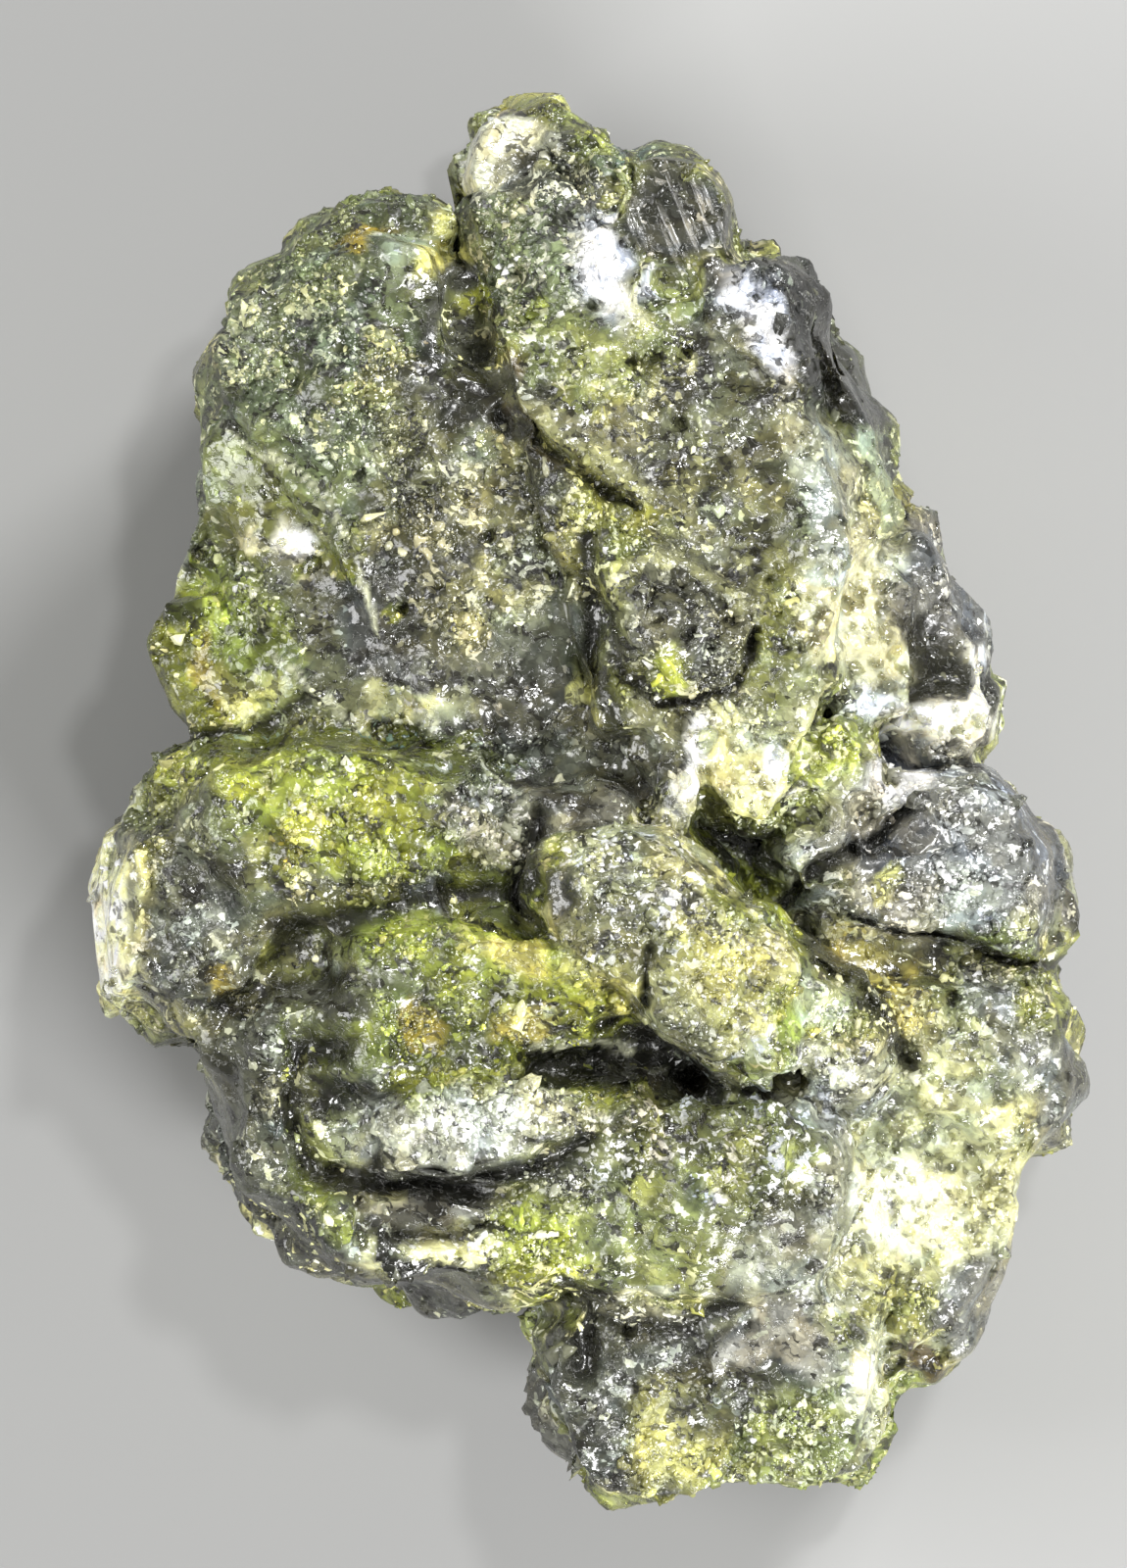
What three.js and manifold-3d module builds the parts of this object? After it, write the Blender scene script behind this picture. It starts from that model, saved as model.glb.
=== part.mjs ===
// An epidote crystal cluster: one fused lump of blocky crystals and granular masses, 29 mm long. It lies on
// its broken back. +X runs across the cluster, +Y along it towards its pale tip, and +Z up out of its
// crystal side. The origin is the middle of its length and width, on the surface that it rests on.
// Millimetres.
//
// A rough body has the outline of the cluster, narrower towards its back and its front. On it stand the
// crystals and masses that are seen from the front. Each is a convex block with an outline, which is widest
// between two heights and ends in a smaller face that may be tilted. They overlap, as grown crystals do,
// and are joined in one solid.

import * as THREE from "three";
import { ConvexGeometry } from "three/addons/geometries/ConvexGeometry.js";
import { mergeVertices } from "three/addons/utils/BufferGeometryUtils.js";
import { ImprovedNoise } from "three/addons/math/ImprovedNoise.js";
import { MeshSurfaceSampler } from "three/addons/math/MeshSurfaceSampler.js";
import Module from "manifold-3d";

// Driving dimensions, in millimetres
const GRAIN_EDGE = 1.3; // longest edge left on a rough mass
const FACET_EDGE = 4; // and on a smooth crystal
const SWELL = { across: 0.26, up: 0.5, length: 3.4 }; // broad unevenness of a rough mass
const KNOB = { across: 0.2, up: 0.26, length: 1.3 }; // its small lumps
const TOLERANCE = 0.055; // points closer to the surface around them than this are taken out
const SPREAD = 1.015; // how far the lumps may reach, against the outline
const REST_CUT = 60; // size of the block that cuts the back flat
const SEED = 11;

// Outline of the whole cluster from the front, from the tip and round to the right
const OUTLINE = [
  [-1.85, 14.45], [-1.35, 14.49], [-0.75, 14.35], [0.05, 13.91], [0.75, 13.45], [1.85, 13.31],
  [2.65, 12.75], [2.89, 12.25], [3.09, 11.55], [3.95, 11.25], [4.75, 10.35], [5.49, 9.05], [5.99, 7.95],
  [6.25, 6.75], [6.41, 6.05], [6.75, 6.05], [7.29, 5.45], [7.75, 4.35], [8.11, 3.35], [8.35, 2.15],
  [8.15, 0.95], [8.95, 0.25], [9.69, -0.95], [9.89, -2.05], [9.75, -3.15], [10.05, -4.25], [10.29, -5.75],
  [9.85, -6.95], [9.05, -7.65], [8.75, -8.45], [8.89, -9.05], [8.45, -10.05], [7.75, -11.25],
  [7.35, -11.75], [6.35, -11.85], [6.15, -12.65], [5.75, -13.65], [5.05, -13.81], [4.25, -13.65],
  [3.25, -13.95], [2.05, -14.15], [0.05, -14.41], [-0.45, -14.15], [-0.51, -13.05], [-0.75, -12.25],
  [-1.15, -10.85], [-2.05, -9.95], [-3.35, -10.21], [-4.05, -9.95], [-5.35, -9.45], [-5.95, -8.89],
  [-7.05, -7.75], [-7.45, -6.65], [-7.75, -5.45], [-7.65, -4.55], [-8.95, -4.55], [-9.99, -4.35],
  [-10.19, -3.25], [-10.29, -1.65], [-9.79, -0.25], [-9.05, 0.35], [-8.65, 1.05], [-8.05, 1.45],
  [-8.35, 1.95], [-9.05, 3.15], [-8.99, 3.55], [-8.45, 4.55], [-7.85, 5.85], [-7.79, 6.75], [-7.95, 7.95],
  [-7.85, 9.05], [-7.51, 10.15], [-6.85, 10.91], [-6.15, 11.65], [-5.45, 11.85], [-4.95, 12.49],
  [-4.35, 12.55], [-2.55, 12.19], [-2.55, 13.45], [-2.35, 13.95],
];

// The body's sections, from under the resting surface to its front: height, and size against the outline
const SECTIONS = [
  [-1.5, 0.44], [0.7, 0.73], [2.4, 0.89], [4.2, 0.97], [5.8, 0.985], [7.3, 0.965], [8.6, 0.91], [9.6, 0.82],
  [10.2, 0.66],
];
const RIGHT_DROP = 0.0034; // how much lower the body is towards its right, per square millimetre

// What stands on the body, from the tip down. low and high are the heights between which a block is widest,
// and face is the height of its face. shrink is the size of the face against the outline. tilt is how much
// the face rises per millimetre along X and Y. A crowned block is rounded between its widest part and its
// face. rough is how uneven a block is, from 0, a flat crystal, to 1, a granular mass.
const BLOCKS = {
  leftBed: {
    outline: [[-9.2, 0.2], [-8.2, 1.3], [-3, 1.4], [1.5, 1.2], [2.6, -0.6], [3.4, -4], [2.6, -7],
      [1, -9.6], [-2.2, -9.7], [-4.4, -9.5], [-6.4, -8.2], [-7.3, -6.3], [-7.6, -4.6], [-9.4, -3.8],
      [-9.8, -1.6]],
    low: 5, high: 8.4, face: 11.2, shrink: 0.82, tilt: [0.07, 0], crown: true, rough: 0.8,
  },
  rightBed: {
    outline: [[4, 1.2], [5, 1.4], [8, 0.7], [9.3, -0.9], [9.5, -3], [9.9, -5.6], [9.4, -6.9], [8.6, -8.4],
      [8.4, -9.6], [7.4, -11.2], [6, -11.4], [4.6, -9], [3.4, -5]],
    low: 3.8, high: 6.4, face: 9.3, shrink: 0.78, tilt: [-0.22, 0], crown: true, rough: 0.8,
  },
  paleTip: {
    outline: [[-2.65, 12.75], [-2.55, 13.45], [-2.35, 13.95], [-1.85, 14.4], [-1.35, 14.49],
      [-0.75, 14.15], [-0.85, 12.5], [-1.55, 12.1], [-2.4, 12.3]],
    low: 3.6, high: 6.5, face: 8.9, shrink: 0.72, tilt: [0.4, -0.2], rough: 0.25,
  },
  tipSlope: {
    outline: [[-1.9, 14.45], [-1.3, 14.5], [-0.7, 14.3], [0.05, 13.9], [0.75, 13.4], [1.2, 12.8],
      [0.2, 12.6], [-1.0, 13.2]],
    low: 3.9, high: 7, face: 9.3, shrink: 0.6, tilt: [-0.2, -0.5],
  },
  underTip: {
    outline: [[-2.35, 12.35], [-1.95, 12.75], [-0.75, 12.95], [0.25, 12.65], [0.45, 11.35], [0.05, 9.75],
      [-0.75, 9.35], [-2.15, 9.75], [-2.55, 11.35]],
    low: 5, high: 9.2, face: 10.9, shrink: 0.8, tilt: [0.05, -0.25],
  },
  glassyTip: {
    outline: [[0.55, 13.15], [1.25, 13.35], [2.05, 13.25], [2.65, 12.75], [2.9, 12.25], [2.95, 10.95],
      [2.05, 10.65], [1.05, 10.85], [0.45, 11.75]],
    low: 5.4, high: 8.8, face: 11, shrink: 0.78, tilt: [-0.1, -0.35], rough: 0.25,
  },
  brightFacet: {
    outline: [[-0.05, 11.65], [0.55, 11.9], [1.15, 11.75], [1.25, 10.55], [0.85, 9.95], [0.15, 10.15]],
    low: 6, high: 10.6, face: 11.8, shrink: 0.75, tilt: [0.3, 0.1], rough: 0.25,
  },
  shoulder: {
    outline: [[1.85, 11.15], [2.85, 11.35], [3.85, 11.25], [4.75, 10.35], [4.65, 9.55], [4.05, 8.35],
      [2.85, 8.75], [1.85, 9.55]],
    low: 5, high: 9.8, face: 11.7, shrink: 0.75, tilt: [-0.15, -0.25],
  },
  shoulderEdge: {
    outline: [[3.2, 10.8], [3.8, 10.8], [4.3, 9.6], [4.9, 8.3], [4.5, 7.6], [3.9, 8.4], [3.4, 9.4]],
    low: 8, high: 10.8, face: 12, shrink: 0.6, tilt: [-0.2, -0.1], rough: 0.25,
  },
  upperRim: {
    outline: [[-7.3, 10.5], [-6.15, 11.6], [-5.45, 11.85], [-4.95, 12.4], [-4.35, 12.55], [-2.95, 12.35],
      [-2.4, 11.9], [-2.6, 11.0], [-5, 10.8]],
    low: 3.4, high: 7.2, face: 9.4, shrink: 0.8, tilt: [0, -0.15],
  },
  upperLeft: {
    outline: [[-7.85, 7.75], [-7.95, 8.35], [-7.85, 9.05], [-7.5, 10.15], [-6.85, 10.9], [-6.15, 11.5],
      [-4.95, 11.8], [-2.95, 11.8], [-2.35, 11.1], [-2.15, 8.3], [-3.1, 5.1], [-5.3, 6.3], [-6.8, 7.3]],
    low: 3, high: 8, face: 10.6, shrink: 0.84, tilt: [0.08, -0.08],
  },
  slab: {
    outline: [[-7.1, 7.9], [-4.5, 9.6], [-2.4, 9.4], [-0.6, 7.6], [0.6, 5.6], [0.6, 1.1], [-3.1, 1.1],
      [-4.6, 3.6], [-6.0, 5.9]],
    low: 6, high: 9.8, face: 10.7, shrink: 0.93, tilt: [-0.02, 0], rough: 0.6,
  },
  leftFlank: {
    outline: [[-7.9, 8.2], [-7.1, 7.9], [-5.2, 4.6], [-3.2, 1.3], [-4.6, 1.2], [-8.0, 1.4], [-8.5, 2.6],
      [-8.9, 3.4], [-8.4, 4.6], [-7.85, 5.9], [-7.8, 6.8]],
    low: 3.2, high: 5.6, face: 8.6, shrink: 0.9, tilt: [0.6, 0.38], rough: 0.25,
  },
  flankRidge: {
    outline: [[-6.6, 3.7], [-6.0, 3.7], [-4.4, 1.6], [-4.2, 0.9], [-5.0, 1.0], [-6.2, 2.6]],
    low: 7, high: 8.6, face: 10, shrink: 0.6, tilt: [0.4, 0.2], rough: 0.25,
  },
  leftEar: {
    outline: [[-9.2, 3.2], [-9.1, 3.7], [-8.6, 4.5], [-7.6, 4.5], [-6.0, 3.0], [-4.8, 1.3], [-8.0, 1.3],
      [-8.6, 2.0]],
    low: 3.4, high: 7, face: 9.4, shrink: 0.8, tilt: [0.2, -0.1],
  },
  rightBlock: {
    outline: [[-2.2, 9.9], [-0.4, 10.1], [3.2, 10.6], [3.5, 10.5], [4.1, 8.8], [5.1, 6.8], [5.5, 5.1],
      [4.9, 3.5], [4.5, 1.2], [0.1, 1.4], [0.0, 5.2], [-0.4, 6.6], [-1.6, 8.3]],
    low: 6, high: 10.8, face: 11.6, shrink: 0.93, tilt: [-0.03, -0.07], rough: 0.7,
  },
  rightFlank: {
    outline: [[3.3, 10.9], [4.0, 11.2], [4.75, 10.35], [5.5, 9.05], [6.0, 7.95], [6.25, 6.75], [6.4, 6.05],
      [6.2, 4.4], [5.2, 3.2], [4.6, 4.4], [4.8, 6.8], [3.9, 8.9]],
    low: 3.6, high: 6.4, face: 10, shrink: 0.62, tilt: [-0.9, -0.3], rough: 0.25,
  },
  darkKnob: {
    outline: [[0.4, 3.9], [1.2, 4.7], [2.4, 4.4], [3.5, 3.9], [4.0, 2.9], [3.4, 1.7], [1.8, 1.7],
      [0.8, 2.4]],
    low: 9, high: 10.9, face: 12.1, shrink: 0.45, tilt: [0, 0.12], crown: true,
  },
  paleMass: {
    outline: [[4.8, 4.0], [5.3, 4.9], [6.2, 5.2], [6.9, 4.6], [6.8, 2.6], [6.4, 1.3], [5.2, 1.2],
      [4.7, 2.2]],
    low: 4.4, high: 7.4, face: 9.6, shrink: 0.75, tilt: [-0.3, 0],
  },
  rearLobe: {
    outline: [[5.8, 5.8], [6.4, 6.1], [6.75, 6.05], [7.3, 5.45], [7.75, 4.35], [8.1, 3.35], [8.3, 2.15],
      [8.15, 0.95], [7.2, 0.7], [5.6, 1.4], [5.4, 4]],
    low: 2.8, high: 5.6, face: 8, shrink: 0.65, tilt: [-0.15, 0], crown: true,
  },
  clearRim: {
    outline: [[7.7, 3.0], [8.1, 3.1], [8.34, 2.15], [8.2, 1.2], [7.7, 0.7], [7.4, 1.4]],
    low: 4.2, high: 6, face: 7.4, shrink: 0.6, rough: 0.25,
  },
  nest: {
    outline: [[-3.0, 1.6], [2.0, 1.7], [2.2, 0], [1.0, -0.8], [-1.2, -0.6], [-2.6, -0.9], [-3.2, 0.2]],
    low: 6, high: 9.6, face: 10.7, shrink: 0.85,
  },
  paleColumn: {
    outline: [[1.2, 1.7], [2.1, 1.7], [2.3, 0.4], [2.0, -0.5], [1.3, -0.5], [1.1, 0.6]],
    low: 8, high: 11, face: 11.9, shrink: 0.7, tilt: [0.2, 0], rough: 0.25,
  },
  yellowCrystal: {
    outline: [[2.2, 1.8], [3.6, 1.9], [4.5, 1.5], [4.6, 0.3], [3.8, -0.6], [2.5, -0.4], [2.0, 0.6]],
    low: 7, high: 10.3, face: 11.6, shrink: 0.62, tilt: [0.05, 0.1],
  },
  yellowSide: {
    outline: [[4.2, 1.6], [5.3, 1.8], [6.1, 1.3], [6.2, 0.1], [5.0, -0.5], [4.0, 0]],
    low: 6, high: 9.5, face: 10.9, shrink: 0.6, tilt: [-0.1, 0.05],
  },
  greenLobe: {
    outline: [[-8.7, 1.0], [-8.0, 1.45], [-6.0, 1.7], [-3.4, 1.55], [-1.6, 1.1], [-0.9, 0.2], [-1.2, -1.2],
      [-2.0, -2.6], [-4.6, -3.4], [-6.6, -3.2], [-8.5, -1.8], [-9.1, 0]],
    low: 4.6, high: 9.2, face: 12.1, shrink: 0.64, tilt: [0.05, 0.1], crown: true,
  },
  leftSaddle: {
    outline: [[-8.8, -0.4], [-6.5, 0.4], [-4.4, -1.4], [-4.2, -4.6], [-6.0, -5.6], [-8.0, -4.2]],
    low: 5, high: 9, face: 10.6, shrink: 0.7,
  },
  leftEnd: {
    outline: [[-10.2, -1.65], [-10.1, -1.05], [-9.7, -0.25], [-9.05, 0.35], [-7.4, 0.6], [-5.6, -0.8],
      [-5.0, -2.8], [-6.2, -4.4], [-7.9, -4.6], [-9.0, -4.5], [-9.9, -4.3], [-10.15, -3.25]],
    low: 3.4, high: 6.9, face: 11.2, shrink: 0.62, tilt: [0.3, 0.03], crown: true,
  },
  leftEdge: {
    outline: [[-10.29, -1.65], [-10.1, -1.1], [-9.4, -1.3], [-8.9, -2.6], [-9.0, -4.0], [-9.4, -4.5],
      [-9.99, -4.35], [-10.19, -3.25]],
    low: 3.8, high: 6.2, face: 8.4, shrink: 0.75, tilt: [0.35, 0], rough: 0.25,
  },
  upperTongue: {
    outline: [[-5.4, -2.5], [-3.6, -2.0], [-1.8, -2.1], [-0.4, -2.7], [0.8, -3.1], [1.2, -3.6],
      [0.9, -4.3], [-0.8, -4.8], [-3.4, -4.7], [-5.2, -4.1]],
    low: 9, high: 11.6, face: 12.8, shrink: 0.66, tilt: [0.02, 0.15], crown: true,
  },
  lowerTongue: {
    outline: [[-6.4, -3.9], [-4.0, -3.4], [-1.6, -3.9], [0.8, -4.1], [1.4, -4.6], [0.6, -5.2],
      [-1.2, -5.8], [-3.4, -6.3], [-5.6, -6.1], [-6.4, -5.0]],
    low: 8.5, high: 10.9, face: 12.3, shrink: 0.62, tilt: [0, 0.12], crown: true,
  },
  bowl: {
    outline: [[-7.79, -4.85], [-7.6, -4.2], [-6.6, -3.6], [-5, -3.3], [-2, -4.5], [0.4, -6.0], [0.6, -8.4],
      [-0.9, -9.6], [-2.05, -9.9], [-3.35, -10.15], [-4.05, -9.9], [-5.35, -9.4], [-5.95, -8.85],
      [-7.05, -7.7], [-7.45, -6.65], [-7.75, -5.45]],
    low: 2.8, high: 8.4, face: 11.4, shrink: 0.76, tilt: [0.06, 0.08], crown: true,
  },
  bowlRim: {
    outline: [[-7.6, -4.4], [-6.9, -3.6], [-5.5, -3.3], [-4.7, -4.6], [-4.9, -6.9], [-5.8, -8.0],
      [-6.8, -7.3]],
    low: 6.6, high: 9.6, face: 11.7, shrink: 0.58, crown: true,
  },
  brightLedge: {
    outline: [[-4.6, -5.7], [-3.4, -5.2], [-0.8, -5.3], [2.0, -5.4], [2.7, -6.1], [1.8, -7.2],
      [-0.8, -7.8], [-3.4, -7.8], [-4.8, -7.4], [-5.2, -6.5]],
    low: 8.6, high: 10.9, face: 12.3, shrink: 0.66, tilt: [0, 0.2],
  },
  paleBand: {
    outline: [[-6.0, -7.8], [-3.6, -7.7], [-0.8, -7.6], [1.2, -8.0], [0.9, -9.4], [-0.6, -10.2],
      [-2.4, -9.9], [-4.6, -9.7], [-5.8, -9.0]],
    low: 6, high: 9.8, face: 11.7, shrink: 0.62, tilt: [0.05, 0.15], crown: true,
  },
  frontLobe: {
    outline: [[-1.1, -1.7], [-0.8, -0.9], [0.3, -0.4], [1.6, -0.3], [2.6, -1.0], [3.8, -2.0], [4.5, -3.1],
      [4.65, -4.2], [4.35, -5.3], [3.6, -5.9], [2.5, -5.7], [1.4, -4.9], [0.2, -3.9], [-0.7, -2.8]],
    low: 8, high: 11.8, face: 13.3, shrink: 0.72, tilt: [-0.08, 0.02], crown: true,
  },
  lobeFlank: {
    outline: [[3.8, -2.0], [4.6, -2.2], [5.6, -3.2], [6.2, -4.4], [6.4, -5.4], [5.6, -6.6], [4.6, -6.6],
      [4.0, -5.6], [4.5, -3.6]],
    low: 7, high: 9.4, face: 11.5, shrink: 0.6, tilt: [-0.4, 0.05], crown: true,
  },
  rightLobe: {
    outline: [[4.0, -1.6], [5.0, -0.4], [6.2, 0.8], [7.2, 1.0], [8.15, 0.95], [8.95, 0.25], [9.69, -0.95],
      [9.89, -2.05], [9.75, -3.2], [8.0, -3.5], [6.0, -3.2], [4.4, -2.8]],
    low: 4.4, high: 7, face: 10.1, shrink: 0.66, tilt: [-0.2, 0], crown: true,
  },
  glassyChip: {
    outline: [[3.5, -1.1], [4.5, -0.1], [5.5, -0.1], [6.1, -0.9], [5.6, -1.9], [4.1, -2.2]],
    low: 7.6, high: 9.7, face: 11, shrink: 0.55, tilt: [-0.2, 0.2], rough: 0.4,
  },
  brightChip: {
    outline: [[5.5, -0.1], [6.3, 0.8], [7.3, 0.7], [7.6, -0.6], [6.9, -1.6], [5.8, -1.3]],
    low: 7, high: 9.2, face: 10.7, shrink: 0.55, tilt: [-0.1, 0.3], rough: 0.4,
  },
  lowerRightLobe: {
    outline: [[4.8, -2.9], [5.6, -2.6], [8.0, -3.0], [9.75, -3.25], [10.05, -4.25], [10.29, -5.75],
      [9.85, -6.95], [9.05, -7.6], [7.6, -7.6], [6.0, -6.4], [5.0, -4.8]],
    low: 2.4, high: 6.8, face: 9.8, shrink: 0.68, tilt: [-0.2, 0], crown: true,
  },
  waist: {
    outline: [[-1.0, -6.2], [2.0, -5.6], [4.0, -5.8], [5.4, -6.3], [5.6, -7.8], [5.3, -9.6], [3.2, -10.2],
      [0.4, -10.2], [-1.2, -9.6], [-1.8, -8.0]],
    low: 6, high: 10.1, face: 11.8, shrink: 0.85, tilt: [-0.02, 0.14],
  },
  waistKnob: {
    outline: [[2.2, -6.3], [3.6, -5.7], [4.6, -6.0], [5.6, -7.2], [5.4, -8.6], [4.0, -9.2], [2.6, -8.2]],
    low: 9, high: 10.7, face: 11.9, shrink: 0.45, tilt: [-0.08, 0.22], crown: true,
  },
  foot: {
    outline: [[-1.15, -10.8], [-0.2, -9.4], [2.8, -9.3], [5.2, -9.3], [6.1, -11.0], [6.1, -12.65],
      [5.75, -13.6], [4.25, -13.65], [3.25, -13.95], [2.05, -14.15], [0.05, -14.4], [-0.45, -14.1],
      [-0.55, -13.05], [-0.75, -12.25]],
    low: 3.6, high: 8, face: 10.4, shrink: 0.84, tilt: [-0.02, 0.12],
  },
  footFacet: {
    outline: [[1.9, -10.3], [4.6, -9.3], [5.8, -10.4], [5.5, -12.2], [3.6, -12.9], [1.9, -12.3]],
    low: 7.6, high: 9.2, face: 10.45, shrink: 0.72, tilt: [-0.2, 0.16], rough: 0.3,
  },
  footPatch: {
    outline: [[0.3, -11.8], [2.4, -11.7], [3.1, -13.0], [2.5, -14.0], [0.6, -14.1], [-0.2, -13.0]],
    low: 6, high: 8.8, face: 10.35, shrink: 0.5, tilt: [0, 0.12], crown: true,
  },
  footChip: {
    outline: [[4.3, -13.2], [4.9, -12.7], [5.6, -12.9], [5.8, -13.3], [5.6, -13.75], [5.0, -13.8],
      [4.5, -13.6]],
    low: 4.2, high: 6.2, face: 7.6, shrink: 0.7, rough: 0.25,
  },
  clearMass: {
    outline: [[5.1, -7.8], [5.6, -6.2], [7.2, -5.4], [8.9, -6.6], [9.05, -7.65], [8.75, -8.45],
      [8.8, -9.05], [8.4, -10.0], [7.7, -11.2], [6.4, -11.8], [5.7, -11], [5.2, -9.4]],
    low: 4, high: 6.8, face: 9.4, shrink: 0.72, tilt: [-0.16, 0], crown: true,
  },
  clearBand: {
    outline: [[5.2, -10.8], [5.8, -10.6], [6.3, -11.9], [6.15, -12.65], [5.9, -13.3], [5.3, -13.4],
      [5.1, -12.0]],
    low: 4.2, high: 7.4, face: 8.9, shrink: 0.7,
  },
  greyBlade: {
    outline: [[8.9, -9.05], [8.5, -8.7], [7.2, -10.2], [6.1, -11.4], [6.35, -11.85], [7.35, -11.75],
      [7.75, -11.25], [8.45, -10.05]],
    low: 3.8, high: 6.2, face: 7.7, shrink: 0.85, tilt: [-0.25, 0], rough: 0.25,
  },
};

// Grooves and hollows that were never filled: each is a wedge along a line, with its width and depth there
const HOLLOWS = {
  besideTipBlock: { from: [-2.7, 10.6], to: [-2.6, 9.2], width: 0.7, top: 12, bottom: 8.8 },
  besideFrontLobe: { from: [-1.3, -0.5], to: [-1.7, -2.0], width: 0.5, top: 13.4, bottom: 8.8 },
  diagonal: { from: [-1.8, 8.0], to: [0.7, 5.7], width: 0.4, top: 13, bottom: 10 },
  underTongues: { from: [-0.2, -5.25], to: [2.2, -5.1], width: 0.5, top: 13.8, bottom: 10.2 },
  belowLedge: { from: [-4.8, -7.85], to: [-0.2, -7.75], width: 0.34, top: 13, bottom: 10.2 },
  rightOfMiddle: { from: [3.2, -0.5], to: [4.4, -2.0], width: 0.6, top: 13.8, bottom: 8.6 },
  rightCrack: { from: [5.4, -2.7], to: [9.6, -3.2], width: 0.3, top: 12, bottom: 7 },
  underDarkKnob: { from: [0.3, 2.2], to: [2.4, 1.5], width: 0.45, top: 13.4, bottom: 10.2 },
  besidePaleMass: { from: [4.7, 3.0], to: [4.9, 1.3], width: 0.4, top: 12.6, bottom: 8.6 },
  footGap: { from: [0.0, -10.9], to: [0.9, -11.3], width: 0.4, top: 12, bottom: 9 },
};

// Small crystals and chunks that are half sunk in the masses, and the pits between them. The sizes are half
// widths.
const CHUNKS = { count: 90, least: 1.1, most: 2.6, sunk: 0.6, lean: 0.5, lowest: -0.6, highest: 7.5 };
const STUDS = { count: 40, least: 0.4, most: 0.8, sunk: 0.75, lean: 0.7, lowest: 0.6, highest: 14 };
const KNOBS = { count: 110, least: 0.4, most: 1, sunk: 0.66, lean: 0.7, lowest: 0.6, highest: 14 };
const PITS = { count: 40, least: 0.2, most: 0.36, sunk: 0, lean: 0.4, lowest: 2, highest: 14 };

const wasm = await Module();
wasm.setup();
const noise = new ImprovedNoise();

// The same run of chance values every time
function chance(seed) {
  let state = seed;
  return () => {
    state = (state + 0x6d2b79f5) | 0;
    let mixed = Math.imul(state ^ (state >>> 15), 1 | state);
    mixed = (mixed + Math.imul(mixed ^ (mixed >>> 7), 61 | mixed)) ^ mixed;
    return ((mixed ^ (mixed >>> 14)) >>> 0) / 4294967296;
  };
}

const pointsOf = (geometry) => {
  const position = geometry.getAttribute("position");
  const pointAt = (i) => new THREE.Vector3().fromBufferAttribute(position, i);
  return Array.from({ length: position.count }, (_, i) => pointAt(i));
};

const facesOf = (geometry) => {
  const index = Array.from(geometry.index.array);
  return Array.from({ length: index.length / 3 }, (_, i) => index.slice(3 * i, 3 * i + 3));
};

// A geometry with its shared vertices merged, so that only position and index are left
function merged(geometry) {
  const bare = geometry.clone();
  for (const name of ["normal", "uv"]) {
    if (bare.getAttribute(name)) bare.deleteAttribute(name);
  }
  return mergeVertices(bare, 1e-4);
}

// A closed geometry as a solid, for joining and cutting
function solidOf(geometry) {
  return new wasm.Manifold(
    new wasm.Mesh({
      numProp: 3,
      vertProperties: new Float32Array(geometry.getAttribute("position").array),
      triVerts: new Uint32Array(geometry.index.array),
    }),
  );
}

// A solid back as a geometry with merged vertices
function geometryOf(solid) {
  const mesh = solid.getMesh();
  const position = new Float32Array(mesh.numVert * 3);
  for (let i = 0; i < mesh.numVert; i++) {
    position.set(mesh.vertProperties.subarray(i * mesh.numProp, i * mesh.numProp + 3), i * 3);
  }
  return new THREE.BufferGeometry()
    .setAttribute("position", new THREE.BufferAttribute(position, 3))
    .setIndex(new THREE.BufferAttribute(new Uint32Array(mesh.triVerts), 1));
}

// Cuts the longest edge in half, with the two triangles beside it, until no edge is longer than allowed
function refined(geometry, allowed) {
  const points = pointsOf(geometry);
  const span = (a, b) => points[a].distanceTo(points[b]);
  // a triangle is kept with its longest edge first
  const turned = ([a, b, c]) => {
    const [ab, bc, ca] = [span(a, b), span(b, c), span(c, a)];
    if (ab >= bc && ab >= ca) return [a, b, c];
    return bc >= ca ? [b, c, a] : [c, a, b];
  };
  let faces = facesOf(geometry).map(turned);
  for (;;) {
    const longer = (best, face) => (span(face[0], face[1]) > span(best[0], best[1]) ? face : best);
    const [from, to] = faces.reduce(longer);
    if (span(from, to) <= allowed) break;
    const middle = points.push(points[from].clone().lerp(points[to], 0.5)) - 1;
    faces = faces.flatMap((face) => {
      if (!face.includes(from) || !face.includes(to)) return [face];
      const corner = face.findIndex((v) => v !== from && v !== to);
      const [apex, first, second] = [face[corner], face[(corner + 1) % 3], face[(corner + 2) % 3]];
      return [turned([apex, first, middle]), turned([apex, middle, second])];
    });
  }
  return new THREE.BufferGeometry().setFromPoints(points).setIndex(faces.flat());
}

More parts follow.
